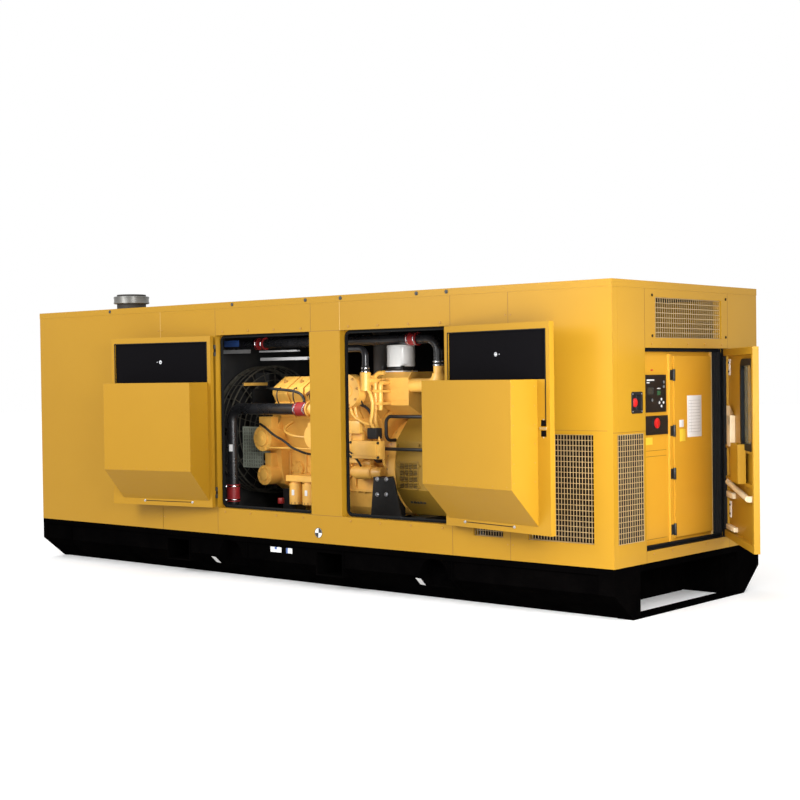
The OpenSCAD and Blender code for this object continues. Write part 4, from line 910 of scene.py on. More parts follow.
# Bare plates riveted on the door: a large white one with ruled lines, and a small one near the hinges.
PLATE_Y, PLATE_Z, RULE_W, RULE_PITCH = (0.166, 0.389), (1.303, 1.632), 0.0022, 0.025
bm = bmesh.new()
add_label(bm, leaf_x, (PLATE_Y[0], PLATE_Z[0]), (PLATE_Y[1], PLATE_Z[1]))
finish_piece("instruction_plate", bm, white_film)
rule_grey = painted(
    "rule_grey", (0.30, 0.30, 0.30), (0.38, 0.38, 0.38), patch=60.0, roughness=0.5, spread=0.05
)
rule_x0, rule_x1 = leaf_x + 0.0011, leaf_x + 0.0015
bm = bmesh.new()
for step in range(11):
    z = PLATE_Z[1] - 0.040 - step * RULE_PITCH
    add_box(bm, (rule_x0, PLATE_Y[0] + 0.020, z), (rule_x1, PLATE_Y[1] - 0.020, z + RULE_W))
for y in (PLATE_Y[0] + 0.020, PLATE_Y[0] + 0.057, PLATE_Y[1] - 0.022):
    add_box(bm, (rule_x0, y, PLATE_Z[1] - 0.290), (rule_x1, y + RULE_W, PLATE_Z[1] - 0.038))
finish_piece("instruction_plate_rules", bm, rule_grey)
bm = bmesh.new()
add_label(bm, leaf_x, (0.044, 1.386), (0.109, 1.443))
finish_piece("small_plate", bm, white_film)
bright_film = painted(
    "bright_film", (0.88, 0.62, 0.05), (0.82, 0.56, 0.04), roughness=0.5, spread=0.08, bump=0.0
)
panel_low, panel_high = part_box("control_panels")
bm = bmesh.new()
add_label(bm, leaf_x, (0.048, 1.275), (0.134, 1.370))
add_box(bm, (panel_low.x - 0.0008, -0.467, 1.266), (panel_low.x + LABEL_OUT, -0.328, 1.321), LABEL_EDGE)
finish_piece("bright_films", bm, bright_film)

# Black caps and leaves over the four lift-off hinges.
CAP_R, CAP_HALF, LEAF_HALF = 0.0125, 0.046, 0.040
bm = bmesh.new()
for z in (0.592, 1.027, 1.361, 1.796):
    x = leaf_x - 0.001
    add_rod(bm, (x, -0.033, z - CAP_HALF), (x, -0.033, z + CAP_HALF), CAP_R, 20, edge=0.002)
    add_box(bm, (x - 0.0055, -0.085, z - LEAF_HALF), (x - 0.0010, -0.036, z + LEAF_HALF), 0.001)
finish_piece("cabinet_hinge_caps", bm, hinge_black)

panel_black = painted(
    "panel_black", (0.0060, 0.0058, 0.0062), (0.0105, 0.0100, 0.0105), patch=25.0, grain=700.0,
    roughness=0.45, spread=0.12, bump=0.05,
)
refine("control_panels", panel_black, edge=0.0015)
refine("stop_box", panel_black, edge=0.004)
face_x = panel_low.x + 0.022

# Controller: a small screen, a green window, lamps and bare keys.
screen_glass, tree, shader = new_material("screen_glass", Roughness=0.15)
smear = place_node(tree, "TexNoise", {"Vector": on_object(tree), "Scale": 30.0}).outputs["Fac"]
connect(tree, shader, blend(tree, smear, rgb(0.022, 0.026, 0.024), rgb(0.045, 0.052, 0.048)))
bm = bmesh.new()
add_box(bm, (face_x - 0.0045, -0.4250, 1.6500), (face_x - 0.0025, -0.3450, 1.7050))
finish_piece("controller_screen", bm, screen_glass)
window_green = painted(
    "window_green", (0.030, 0.110, 0.050), (0.022, 0.085, 0.040), patch=60.0, roughness=0.25, spread=0.05,
    bump=0.0,
)
bm = bmesh.new()
add_label(bm, face_x, (-0.287, 1.6425), (-0.237, 1.6775))
finish_piece("controller_window", bm, window_green)
key_white = painted(
    "key_white", (0.70, 0.70, 0.68), (0.62, 0.62, 0.60), patch=80.0, roughness=0.45, spread=0.1
)
key_x0, key_x1, KEY_R, LAMP_R, KEY_EDGE = face_x + 0.004, face_x + 0.0070, 0.0105, 0.0120, 0.0008
bm = bmesh.new()
for y, z in ((-0.265, 1.586), (-0.205, 1.586), (-0.235, 1.560), (-0.235, 1.612)):
    add_rod(bm, (key_x0, y, z), (key_x1, y, z), KEY_R, 20, edge=KEY_EDGE)
for y, z, width, height in (
    (-0.385, 1.760, 0.110, 0.012), (-0.420, 1.740, 0.040, 0.010), (-0.262, 1.695, 0.050, 0.006)
):
    add_box(bm, (face_x - LABEL_SUNK, y - width / 2, z - height / 2),
            (face_x + 0.0010, y + width / 2, z + height / 2), LABEL_EDGE)
finish_piece("controller_keys", bm, key_white)
lamp_grey = painted(
    "lamp_grey", (0.16, 0.17, 0.17), (0.12, 0.13, 0.13), patch=80.0, roughness=0.3, spread=0.1
)
bm = bmesh.new()
for y, z in ((-0.197, 1.709), (-0.197, 1.743), (-0.368, 1.607)):
    add_rod(bm, (key_x0, y, z), (key_x1, y, z), LAMP_R, 20, edge=KEY_EDGE)
finish_piece("controller_lamps", bm, lamp_grey)

# The breaker's turning handle on its red disc, the fixed panel's seams, and the stop button's mushroom cap.
signal_red = painted(
    "signal_red", (0.55, 0.012, 0.010), (0.48, 0.010, 0.010), patch=30.0, roughness=0.32, spread=0.05
)
KNOB_Y, KNOB_Z, KNOB_R, GRIP_W, GRIP_H = -0.309, 1.430, 0.040, 0.009, 0.037
knob_x0, knob_x1 = panel_high.x - SUNK, panel_high.x + 0.0035
bm = bmesh.new()
add_rod(bm, (knob_x0, KNOB_Y, KNOB_Z), (knob_x1, KNOB_Y, KNOB_Z), KNOB_R, 40, edge=0.001)
add_box(bm, (knob_x0, KNOB_Y - GRIP_W, KNOB_Z - GRIP_H),
        (panel_high.x + 0.012, KNOB_Y + GRIP_W, KNOB_Z + GRIP_H), 0.003)
add_box(bm, (panel_low.x - 0.0008, -0.345, 1.830), (panel_low.x + 0.0025, -0.315, 1.842), 0.0006)
finish_piece("breaker_handle", bm, signal_red)
bm = bmesh.new()
for z in (1.219, 1.175, 0.541):
    add_box(bm, (panel_low.x - 0.0013, -0.500, z - 0.0015), (panel_low.x + 0.0002, -0.125, z + 0.0015))
finish_piece("cabinet_seams", bm, sealer)
stop_low, stop_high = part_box("stop_box")
stop_y, stop_z = (stop_low.y + stop_high.y) / 2, (stop_low.z + stop_high.z) / 2
BUTTON_R, BUTTON_FLAT = 0.0345, 0.42
bm = bmesh.new()
bmesh.ops.create_uvsphere(bm, u_segments=32, v_segments=16, radius=BUTTON_R)
bmesh.ops.bisect_plane(
    bm, geom=bm.verts[:] + bm.edges[:] + bm.faces[:], plane_co=(0, 0, 0), plane_no=(0, 0, -1),
    clear_outer=True,
)
bmesh.ops.holes_fill(bm, edges=[e for e in bm.edges if e.is_boundary])
finish_piece(
    "stop_button_cap", bm, signal_red,
    place=Matrix.Translation((near_x - 0.017, stop_y, stop_z)) @ Matrix.Rotation(radians(90), 4, "Y")
    @ Matrix.Diagonal((1.0, 1.0, BUTTON_FLAT, 1)),
)
bm = bmesh.new()
for dy in (-0.062, 0.062):
    for dz in (-0.064, 0.064):
        add_button(bm, (near_x + 0.0055, stop_y + dy, stop_z + dz), (1, 0, 0), 0.005)
finish_piece("stop_box_screws", bm, zinc)


# ---- Engine ----
# Iron castings sprayed all over with yellow engine enamel after assembly: the crankcase, twelve heads with
# their valve covers, the gear case, the flywheel housing, the turbocharger, the pump and the oil filters.
casting = painted(
    "engine_enamel", (0.900, 0.500, 0.100), (0.750, 0.400, 0.075), patch=5.0, grain=70.0, roughness=0.36,
    spread=0.30, bump=0.28, Coat_Weight=0.15, Coat_Roughness=0.2,
)
# Facets of the round forms that meet at a smaller angle than this, in degrees, are smoothed over.
ROUND_ANGLE = 28
for node in ("engine_block", "cylinder_heads", "gear_case", "flywheel_housing", "turbo_and_aftercooler"):
    refine(node, casting, edge=0.006, angle=ROUND_ANGLE)
refine("coolant_pump", casting, edge=0.004, angle=ROUND_ANGLE)
refine("oil_filters", casting, edge=0.005, angle=ROUND_ANGLE)

block_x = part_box("engine_block")[0].x
CRANK_Z, BANK = 1.000, radians(32)
HEADS_IN, HEAD_PITCH, HEAD_L, DECK = 0.016, 0.208, 0.194, 0.610
COVER_TOP = DECK + 0.298


def on_every_head(fittings):
    """What is drawn for one head, upright with its length along X, repeated on the twelve heads of the V."""
    drawn = bpy.data.meshes.new("one_head")
    fittings.to_mesh(drawn)
    fittings.free()
    heads = bmesh.new()
    for side in (-1, 1):
        for cylinder in range(6):
            bank = (
                Matrix.Translation((block_x + HEADS_IN + cylinder * HEAD_PITCH, 0, CRANK_Z))
                @ Matrix.Rotation(-side * BANK, 4, "X") @ Matrix.Diagonal((1, side, 1, 1))
            )
            before = len(heads.verts)
            heads.from_mesh(drawn)
            bmesh.ops.transform(heads, matrix=bank, verts=heads.verts[before:])
    bpy.data.meshes.remove(drawn)
    return heads


# Cover bolts, head bolts, and a cap with its bolt on every cover.
bright_bolt = painted(
    "bolt_enamel", (0.50, 0.25, 0.055), (0.36, 0.18, 0.045), patch=60.0, grain=300.0, roughness=0.34,
    spread=0.2,
)
bm = bmesh.new()
for u in (0.018, HEAD_L - 0.018):
    for v in (-0.11475, 0.0, 0.11475):
        add_bolt(bm, (u, v, DECK + 0.166), (0, 0, 1), 0.017)
for u in (0.05, 0.097, 0.144):
    add_bolt(bm, (u, -0.150, DECK + 0.060), (0, -1, 0), 0.020)
    add_bolt(bm, (u, -0.150, DECK + 0.125), (0, -1, 0), 0.016)
cap_top = COVER_TOP + 0.010
add_rod(bm, (HEAD_L / 2, 0, COVER_TOP - 0.002), (HEAD_L / 2, 0, cap_top), 0.020, 24, edge=0.002)
add_bolt(bm, (HEAD_L / 2, 0, cap_top), (0, 0, 1), 0.020)
finish_piece("head_bolts", on_every_head(bm), bright_bolt)

# Ribs and bosses cast on the valve covers and the heads.
RIB_W, BOSS_Z, BOSS_R = 0.012, DECK + 0.088, 0.040
bm = bmesh.new()
for u in (0.045, HEAD_L - 0.057):
    add_box(bm, (u, -0.128, DECK + 0.195), (u + RIB_W, 0.128, DECK + 0.260), 0.003)
    add_box(bm, (u, -0.090, DECK + 0.250), (u + RIB_W, 0.090, COVER_TOP + 0.005), 0.003)
add_rod(bm, (HEAD_L / 2, -0.145, BOSS_Z), (HEAD_L / 2, -0.200, BOSS_Z), BOSS_R, 24, edge=0.003)
add_box(bm, (0.040, -0.165, DECK + 0.035), (0.154, -0.148, DECK + 0.150), 0.006)
finish_piece("head_ribs", on_every_head(bm), casting)


def bolt_circle(bm, centre, axis, radius, count, size, start=0):
    """Bolts round the rim of a cover that faces along X or Y."""
    across = Vector((0, 1, 0)) if axis[0] else Vector((1, 0, 0))
    for step in range(count):
        turn = radians(start + step * 360 / count)
        seat = Vector(centre) + across * radius * cos(turn) + Vector((0, 0, radius * sin(turn)))
        add_bolt(bm, seat, axis, size)


# Bolted side covers of the crankcase, the ribs between them, and the sump's rows of bolts.
COVER_FACE, COVER_Z, SUMP_Z = 0.352, 0.960, 0.781
bm = bmesh.new()
for side in (-1, 1):
    out, face = (0, side, 0), side * COVER_FACE
    for cover in range(6):
        x = block_x + 0.110 + cover * HEAD_PITCH
        bolt_circle(bm, (x, face, COVER_Z), out, 0.060, 6, 0.013, start=30)
        add_rod(bm, (x, face, COVER_Z), (x, face + side * 0.008, COVER_Z), 0.030, 24, edge=0.002)
    rib_y0, rib_y1 = sorted((side * 0.325, side * 0.349))
    for rib in range(7):
        x = block_x + 0.006 + rib * HEAD_PITCH
        add_box(bm, (x, rib_y0, 0.82), (x + 0.016, rib_y1, 1.115), 0.004)
    for step in range(14):
        add_bolt(bm, (block_x + 0.055 + step * 0.089, side * 0.330, SUMP_Z), (0, 0, -1), 0.018)
finish_piece("crankcase_fittings", bm, casting)

# Bolts round the rim of the gear case and on its round covers, and the covers' raised middles.
RIM = (
    (-0.440, 1.0), (-0.400, 0.820), (-0.200, 0.700), (0.200, 0.700), (0.400, 0.820), (0.440, 1.0),
    (0.470, 1.380), (0.330, 1.560), (-0.330, 1.560), (-0.470, 1.380),
)
RIM_MIDDLE, RIM_IN, RIM_PITCH = Vector((0, 1.12)), 0.955, 0.085
RIM_X, COVER_X = -0.762, -0.820
bm = bmesh.new()
for first, second in zip(RIM, RIM[1:] + RIM[:1]):
    first, second = Vector(first), Vector(second)
    count = max(2, int((second - first).length / RIM_PITCH))
    for step in range(count):
        y, z = RIM_MIDDLE + (first.lerp(second, step / count) - RIM_MIDDLE) * RIM_IN
        add_bolt(bm, (RIM_X, y, z), (-1, 0, 0), 0.018)
for y in (-0.250, 0.250):
    bolt_circle(bm, (COVER_X, y, 1.330), (-1, 0, 0), 0.102, 8, 0.016)
bolt_circle(bm, (-0.710, -0.600, 1.250), (0, -1, 0), 0.096, 8, 0.016, start=20)
bolt_circle(bm, (-0.732, -0.560, 0.905), (0, -1, 0), 0.072, 8, 0.014, start=20)
add_rod(bm, (-0.710, -0.595, 1.250), (-0.710, -0.618, 1.250), 0.070, 32, edge=0.004)
add_rod(bm, (-0.710, -0.610, 1.250), (-0.710, -0.626, 1.250), 0.030, 24, edge=0.003)
add_rod(bm, (-0.732, -0.555, 0.905), (-0.732, -0.572, 0.905), 0.050, 32, edge=0.004)
finish_piece("gear_case_fittings", bm, casting)

# Bolts round the flywheel housing's flange, along the aftercooler's joints and on the turbocharger's cover.
bm = bmesh.new()
bolt_circle(bm, (0.710, 0, CRANK_Z), (-1, 0, 0), 0.438, 24, 0.022)
for step in range(5):
    for y in (-0.36, 0.36):
        add_bolt(bm, (0.67 + step * 0.065, y, 1.850), (0, 0, 1), 0.016)
bolt_circle(bm, (0.456, -0.690, 1.690), (0, -1, 0), 0.125, 8, 0.016, start=10)
finish_piece("housing_bolts", bm, bright_bolt)


def sweep(name, radius, material, *points):
    """A bent pipe, hose or lead of one thickness, smooth through every one of its points."""
    curve = bpy.data.curves.new(name, "CURVE")
    curve.dimensions = "3D"
    curve.bevel_depth = radius
    curve.bevel_resolution = 2
    curve.use_fill_caps = True
    curve.resolution_u = 8
    spline = curve.splines.new("BEZIER")
    spline.bezier_points.add(len(points) - 1)
    for knot, point in zip(spline.bezier_points, points):
        knot.co = point
        knot.handle_left_type = knot.handle_right_type = "AUTO"
    holder = bpy.data.objects.new(name + "_path", curve)
    bpy.context.collection.objects.link(holder)
    bpy.context.view_layer.update()
    mesh = bpy.data.meshes.new_from_object(holder.evaluated_get(bpy.context.evaluated_depsgraph_get()))
    bpy.data.objects.remove(holder)
    bpy.data.curves.remove(curve)
    bm = bmesh.new()
    bm.from_mesh(mesh)
    bpy.data.meshes.remove(mesh)
    bmesh.ops.remove_doubles(bm, verts=bm.verts, dist=0.00005)
    return finish_piece(name, bm, material, smooth=50)


# Rubber hoses, hard fuel and oil lines and the injector leads, on the engine's side that faces the doors.
hose_rubber = painted(
    "hose_rubber", (0.009, 0.0085, 0.008), (0.016, 0.015, 0.014), patch=30.0, grain=600.0, roughness=0.6,
    spread=0.2,
)
brown_lead = painted(
    "brown_lead", (0.20, 0.085, 0.025), (0.14, 0.06, 0.02), patch=40.0, roughness=0.5, spread=0.1
)
sweep("upper_hose", 0.013, hose_rubber, (-0.590, -0.60, 1.712), (-0.514, -0.62, 1.709),
      (-0.377, -0.62, 1.700), (-0.241, -0.62, 1.682), (-0.165, -0.62, 1.650), (-0.137, -0.62, 1.600),
      (-0.128, -0.66, 1.570))
sweep("front_hose", 0.011, hose_rubber, (-0.740, -0.60, 1.385), (-0.615, -0.65, 1.352),
      (-0.508, -0.65, 1.289), (-0.371, -0.65, 1.232), (-0.281, -0.65, 1.181), (-0.206, -0.65, 1.156),
      (-0.140, -0.58, 1.120), (-0.120, -0.38, 1.10))
sweep("fuel_line", 0.009, casting, (-0.60, -0.62, 1.165), (-0.40, -0.635, 1.170), (-0.05, -0.620, 1.168),
      (0.25, -0.60, 1.172), (0.40, -0.55, 1.20))
sweep("oil_line", 0.012, casting, (-0.45, -0.46, 1.40), (-0.43, -0.58, 1.34), (-0.30, -0.63, 1.29),
      (-0.12, -0.60, 1.27))
sweep("starter_lead", 0.010, hose_rubber, (0.44, -0.50, 1.02), (0.42, -0.56, 1.10), (0.30, -0.60, 1.13),
      (0.16, -0.58, 1.10))
for index, x in enumerate((-0.50, -0.29, -0.08, 0.12, 0.33, 0.54)):
    sweep("injector_lead_%d" % (index + 1), 0.006, hose_rubber, (x, -0.557, 1.72), (x + 0.02, -0.617, 1.70),
          (x + 0.03, -0.637, 1.63), (x + 0.02, -0.590, 1.56), (x, -0.530, 1.53))
sweep("harness_trunk", 0.013, hose_rubber, (-0.60, -0.580, 1.560), (-0.30, -0.588, 1.552),
      (0.0, -0.584, 1.557), (0.30, -0.590, 1.55), (0.56, -0.582, 1.555), (0.625, -0.56, 1.48),
      (0.63, -0.52, 1.30))

# Two coolant pipes and the turbocharger's oil pipes, in front of the heads that are next to the alternator.
sweep("vent_riser", 0.020, casting, (0.660, -0.50, 1.330), (0.668, -0.555, 1.400), (0.670, -0.560, 1.480),
      (0.670, -0.560, 1.700), (0.672, -0.560, 1.800), (0.705, -0.560, 1.838), (0.777, -0.555, 1.846))
sweep("crossing_pipe", 0.017, casting, (0.700, -0.56, 1.330), (0.691, -0.640, 1.406),
      (0.706, -0.640, 1.500), (0.708, -0.640, 1.600), (0.665, -0.640, 1.693), (0.580, -0.640, 1.750),
      (0.480, -0.640, 1.800))
sweep("turbo_oil_feed", 0.012, casting, (0.395, -0.560, 1.700), (0.417, -0.600, 1.647),
      (0.450, -0.640, 1.560), (0.477, -0.640, 1.485), (0.585, -0.640, 1.420), (0.693, -0.620, 1.372),
      (0.745, -0.600, 1.270), (0.765, -0.580, 1.157), (0.750, -0.545, 1.060), (0.732, -0.500, 1.019))
sweep("turbo_drain", 0.018, casting, (0.47, -0.62, 1.60), (0.50, -0.60, 1.45), (0.56, -0.53, 1.30),
      (0.60, -0.47, 1.15))
sweep("sensor_lead", 0.007, hose_rubber, (0.33, -0.65, 1.52), (0.30, -0.69, 1.40), (0.36, -0.70, 1.24),
      (0.48, -0.66, 1.14))
sweep("cooler_feed", 0.016, brown_lead, (-0.06, -0.66, 1.66), (0.02, -0.67, 1.69), (0.18, -0.67, 1.68),
      (0.28, -0.66, 1.62))

# The control module's big cover, the small one above it with its bracket, the black terminal box, and the
# starter's solenoid.
bm = bmesh.new()
add_box(bm, (0.431, -0.640, 1.097), (0.784, -0.560, 1.255), 0.012)
add_box(bm, (0.461, -0.648, 1.122), (0.754, -0.636, 1.230), 0.006)
add_box(bm, (0.403, -0.640, 1.315), (0.558, -0.590, 1.428), 0.008)
add_box(bm, (0.420, -0.592, 1.240), (0.540, -0.470, 1.330), 0.006)
add_box(bm, (0.23, -0.530, 1.05), (0.43, -0.36, 1.17), 0.006)
add_box(bm, (0.205, -0.570, 1.165), (0.395, -0.500, 1.385), 0.010)
finish_piece("engine_module", bm, casting)
bm = bmesh.new()
for x in (0.447, 0.768):
    for z in (1.113, 1.239):
        add_bolt(bm, (x, -0.640, z), (0, -1, 0), 0.016)
add_box(bm, (0.640, -0.640, 1.272), (0.749, -0.560, 1.367), 0.008)
finish_piece("terminal_box", bm, hose_rubber)
bm = bmesh.new()
for z, radius in ((1.03, 0.020), (0.96, 0.018)):
    add_rod(bm, (0.300, -0.455, z), (0.289, -0.455, z), radius, 16, edge=0.002)
add_rod(bm, (0.35, -0.440, 1.045), (0.52, -0.440, 1.045), 0.032, 24, edge=0.004)
for x in (0.345, 0.525):
    add_rod(bm, (x, -0.440, 0.965), (x + 0.012, -0.440, 0.965), 0.067, 32, edge=0.003)
finish_piece("starter_solenoid", bm, casting)

# Spin-on filters with a bare white label on each can and a knurled foot. A red plug is beside the first.
FILTER_X, FILTER_Y, FILTER_PITCH = -0.270, -0.600, 0.165
bm = bmesh.new()
for index in range(3):
    can = Matrix.Translation((FILTER_X + index * FILTER_PITCH, FILTER_Y, 0.770))
    add_plate(bm, (0.026, 0.004, 0.050),
              can @ Matrix.Rotation(radians(15), 4, "Z") @ Matrix.Translation((0, -0.0655, 0)))
finish_piece("filter_bands", bm, white_film)
plug_red = painted(
    "plug_red", (0.30, 0.016, 0.016), (0.24, 0.012, 0.012), patch=30.0, roughness=0.4, spread=0.1
)
bm = bmesh.new()
add_rod(bm, (-0.475, -0.600, 0.655), (-0.475, -0.600, 0.705), 0.030, 24, edge=0.003)
finish_piece("drain_plug", bm, plug_red)
KNURLS, KNURL_AT, KNURL_R = 12, 0.060, 0.009
bm = bmesh.new()
for index in range(3):
    for knurl in range(KNURLS):
        turn = 2 * pi * knurl / KNURLS
        x, y = FILTER_X + index * FILTER_PITCH + KNURL_AT * cos(turn), FILTER_Y + KNURL_AT * sin(turn)
        add_rod(bm, (x, y, 0.662), (x, y, 0.684), KNURL_R, 8)
finish_piece("filter_knurls", bm, bright_bolt)

# Air filter canister in white enamel with two ribs, on a black foot.
canister_white = painted(
    "canister_white", (0.80, 0.80, 0.78), (0.72, 0.72, 0.70), patch=6.0, grain=200.0, roughness=0.3,
    spread=0.15, Coat_Weight=0.2,
)
refine("air_filter", canister_white, edge=0.004, angle=ROUND_ANGLE)
filter_low, filter_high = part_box("air_filter")
filter_x, filter_y = (filter_low.x + filter_high.x) / 2, (filter_low.y + filter_high.y) / 2
bm = bmesh.new()
for z in (1.915, 2.062):
    add_rod(bm, (filter_x, filter_y, z), (filter_x, filter_y, z + 0.008), 0.1262, 64, edge=0.002)
finish_piece("canister_ribs", bm, canister_white)
bm = bmesh.new()
add_box(bm, (filter_x - 0.120, filter_y - 0.110, 1.8605), (filter_x + 0.120, filter_y + 0.110, 1.872), 0.002)
for x in (filter_x - 0.11, filter_x + 0.11):
    add_box(bm, (x - 0.012, filter_y - 0.125, 1.862), (x + 0.012, filter_y - 0.095, 1.905), 0.003)
add_rod(bm, (filter_x, filter_y, 1.871), (filter_x, filter_y, 1.8975), 0.112, 48, edge=0.002)
finish_piece("canister_foot", bm, hinge_black)


# ---- Pipes and couplings ----
# Black enamelled steel pipes carry the coolant and the charge air. Red silicone hoses lap their joints, each
# held by bright worm-drive bands.
pipe_black = painted(
    "pipe_black", (0.011, 0.011, 0.012), (0.020, 0.020, 0.022), patch=8.0, grain=260.0, roughness=0.28,
    spread=0.15, bump=0.03, Coat_Weight=0.3, Coat_Roughness=0.15,
)
refine("coolant_pipes", pipe_black, edge=0.0, angle=ROUND_ANGLE)
silicone_group, given, result = new_group(
    "Woven Silicone", [("Scale", "Float", 300.0)], [("Weave", "Float")]
)
warp = place_node(
    silicone_group, "TexWave",
    {"Vector": on_object(silicone_group), "Scale": given["Scale"], "Distortion": 0.4},
    bands_direction="DIAGONAL",
)
silicone_group.links.new(warp.outputs["Fac"], result["Weave"])
red_silicone, tree, shader = new_material("red_silicone")
cloth = place_node(tree, "Group", node_tree=silicone_group)
cloth.inputs["Scale"].default_value = 60.0
weave = cloth.outputs["Weave"]
connect(
    tree, shader, blend(tree, weave, rgb(0.22, 0.010, 0.012), rgb(0.40, 0.022, 0.024)),
    spread_between(tree, weave, 0.0, 1.0, 0.36, 0.52), (0.25, 0.001, weave),
)
refine("pipe_couplings", red_silicone, edge=0.003, angle=ROUND_ANGLE)

bright_band = painted(
    "bright_band", (0.62, 0.62, 0.63), (0.52, 0.52, 0.54), patch=40.0, grain=400.0, roughness=0.22,
    spread=0.2, Metallic=1.0,
)
PIPE_R, HIGH_PIPE_R, COUPLING_T = 0.052, 0.045, 0.0132
BAND_W, WORM_R, WORM_HALF = 0.014, 0.0065, 0.018
bm = bmesh.new()
for start, way, length, radius in (
    ((-0.152, -0.700, 1.528), (1, 0, 0), 0.150, PIPE_R), ((-1.010, -0.700, 0.658), (0, 0, 1), 0.160, PIPE_R),
    ((-0.960, -0.400, 2.135), (1, 0, 0), 0.110, HIGH_PIPE_R),
    ((0.930, -0.400, 2.135), (1, 0, 0), 0.110, HIGH_PIPE_R),
):
    start, way = Vector(start), Vector(way)
    outer = radius + COUPLING_T
    for offset in (0.010, length - 0.024):
        at = start + way * offset
        add_rod(bm, at, at + way * BAND_W, outer, 48, edge=0.001)
        side = Vector((0, -1, 0)) if way.x else Vector((-0.5, -0.866, 0))
        worm = at + way * BAND_W / 2 + side * (outer + 0.004)
        half = way.cross(side) * WORM_HALF
        add_rod(bm, worm - half, worm + half, WORM_R, 12)
finish_piece("coupling_bands", bm, bright_band)
bm = bmesh.new()
riser = Matrix.Translation((-1.010, -0.700, 1.162)) @ Matrix.Rotation(radians(30), 4, "Z")
add_plate(bm, (0.034, 0.006, 0.065), riser @ Matrix.Translation((0, -PIPE_R + LABEL_SUNK, 0)))
finish_piece("pipe_film", bm, white_film)

# Two short rubber hoses on the stubs under the pipes, each with two bright bands.
bm = bmesh.new()
for base, radius in (((1.263, -0.400, 1.8975), 0.0475), ((0.632, -0.640, 1.8505), 0.034)):
    for rise in (0.0, 0.030):
        low_end, high_end = (Vector(base) + Vector((0, 0, rise + end)) for end in (0.0, 0.012))
        add_rod(bm, low_end, high_end, radius + 0.006, 40, edge=0.001)
finish_piece("stub_bands", bm, bright_band)
bm = bmesh.new()
add_rod(bm, (0.632, -0.640, 1.8505), (0.632, -0.640, 1.905), 0.036, 40, edge=0.002)
add_rod(bm, (1.263, -0.400, 1.898), (1.263, -0.400, 1.945), 0.050, 40, edge=0.002)
finish_piece("stub_hoses", bm, hose_rubber)


# ---- Alternator ----
# A welded eight-sided frame in olive yellow, with louvred covers over its air inlets and bolts round its
# ends and its top box.
olive = painted(
    "alternator_enamel", (0.265, 0.150, 0.017), (0.225, 0.127, 0.015), patch=2.0, grain=180.0,
    roughness=0.42, spread=0.2, bump=0.10,
)
refine("alternator", olive, edge=0.004, angle=25)
# Flat dark plates in the louvred inlets and in the slots below them are painted shade, the dark inside the
# alternator.
painted_inlet_shade = painted(
    "painted_inlet_shade", (0.020, 0.018, 0.012), (0.035, 0.030, 0.02), patch=30.0, roughness=0.6, spread=0.1
)
SIDE_Y, CELL_W, CELL_H = -0.4705, 0.038, 0.040
CELLS = [(0.872 + column * 0.050, 0.848 + row * 0.056) for column in range(4) for row in range(4)]
bm = bmesh.new()
for x, z in CELLS:
    add_box(bm, (x, SIDE_Y - 0.0007, z), (x + CELL_W, SIDE_Y + 0.0007, z + CELL_H))
for column in range(5):
    x = 0.900 + column * 0.036
    add_box(bm, (x, -0.371, 0.705), (x + 0.024, -0.362, 0.735))
finish_piece("louvre_opening_shade", bm, painted_inlet_shade)
LOUVRE_TURN, LOUVRE_PITCH, FRAME_W, FRAME_OUT = -38, 0.013, 0.010, 0.004
bm = bmesh.new()
for x, z in CELLS:
    for blade in range(3):
        seat = Matrix.Translation((x + CELL_W / 2, SIDE_Y - 0.003, z + 0.008 + blade * LOUVRE_PITCH))
        add_plate(bm, (0.040, 0.012, 0.002), seat @ Matrix.Rotation(radians(LOUVRE_TURN), 4, "X"))
for x0, x1, z0, z1 in (
    (0.858, 1.074, 0.832, 0.846), (0.858, 1.074, 1.064, 1.078),
    (0.858, 0.858 + FRAME_W, 0.832, 1.078), (1.066, 1.066 + FRAME_W, 0.832, 1.078),
):
    add_box(bm, (x0, SIDE_Y - FRAME_OUT, z0), (x1, SIDE_Y, z1), 0.001)
for x in (0.850, 1.090, 1.500, 1.900):
    for z in (0.86, 1.04, 1.22):
        add_bolt(bm, (x, -0.470, z), (0, -1, 0), 0.018)
for step in range(10):
    add_bolt(bm, (0.90 + step * 0.11, -0.302, 1.600), (0, -1, 0), 0.014)
finish_piece("alternator_louvres", bm, olive)


# ---- Mountings ----
# Two long steel rails on the floor, with the feet and brackets that carry the engine and the alternator, all
# in black enamel. Bright bolts hold them to the floor and to the machine.
refine("machine_mounts", hinge_black, edge=0.003)
bm = bmesh.new()
for x, z in ((0.720, 0.924), (0.824, 0.927), (0.718, 0.790), (0.821, 0.795), (0.66, 0.58), (0.92, 0.58)):
    add_bolt(bm, (x, -0.600, z), (0, -1, 0), 0.024)
    add_bolt(bm, (x, 0.600, z), (0, 1, 0), 0.024)
for side in (-1, 1):
    for x in (-0.95, -0.40, 0.15, 0.56, 1.05, 1.60, 2.0):
        add_bolt(bm, (x, side * 0.435, 0.5363), (0, 0, 1), 0.024)
finish_piece("mounting_bolts", bm, zinc)


# ---- Radiator, fan and guards ----
# A black radiator with a finned core stands across the set. A black fan on the gear case's shaft draws
# through it, inside a welded wire cage, and a grey mesh guard covers the belts.
radiator_black = painted(
    "radiator_black", (0.014, 0.014, 0.015), (0.028, 0.027, 0.026), patch=5.0, grain=200.0, roughness=0.5,
    spread=0.2, dust=0.1, dust_height=2.2,
)
refine("radiator", radiator_black, edge=0.003)
refine("fan", radiator_black, edge=0.001, angle=ROUND_ANGLE)
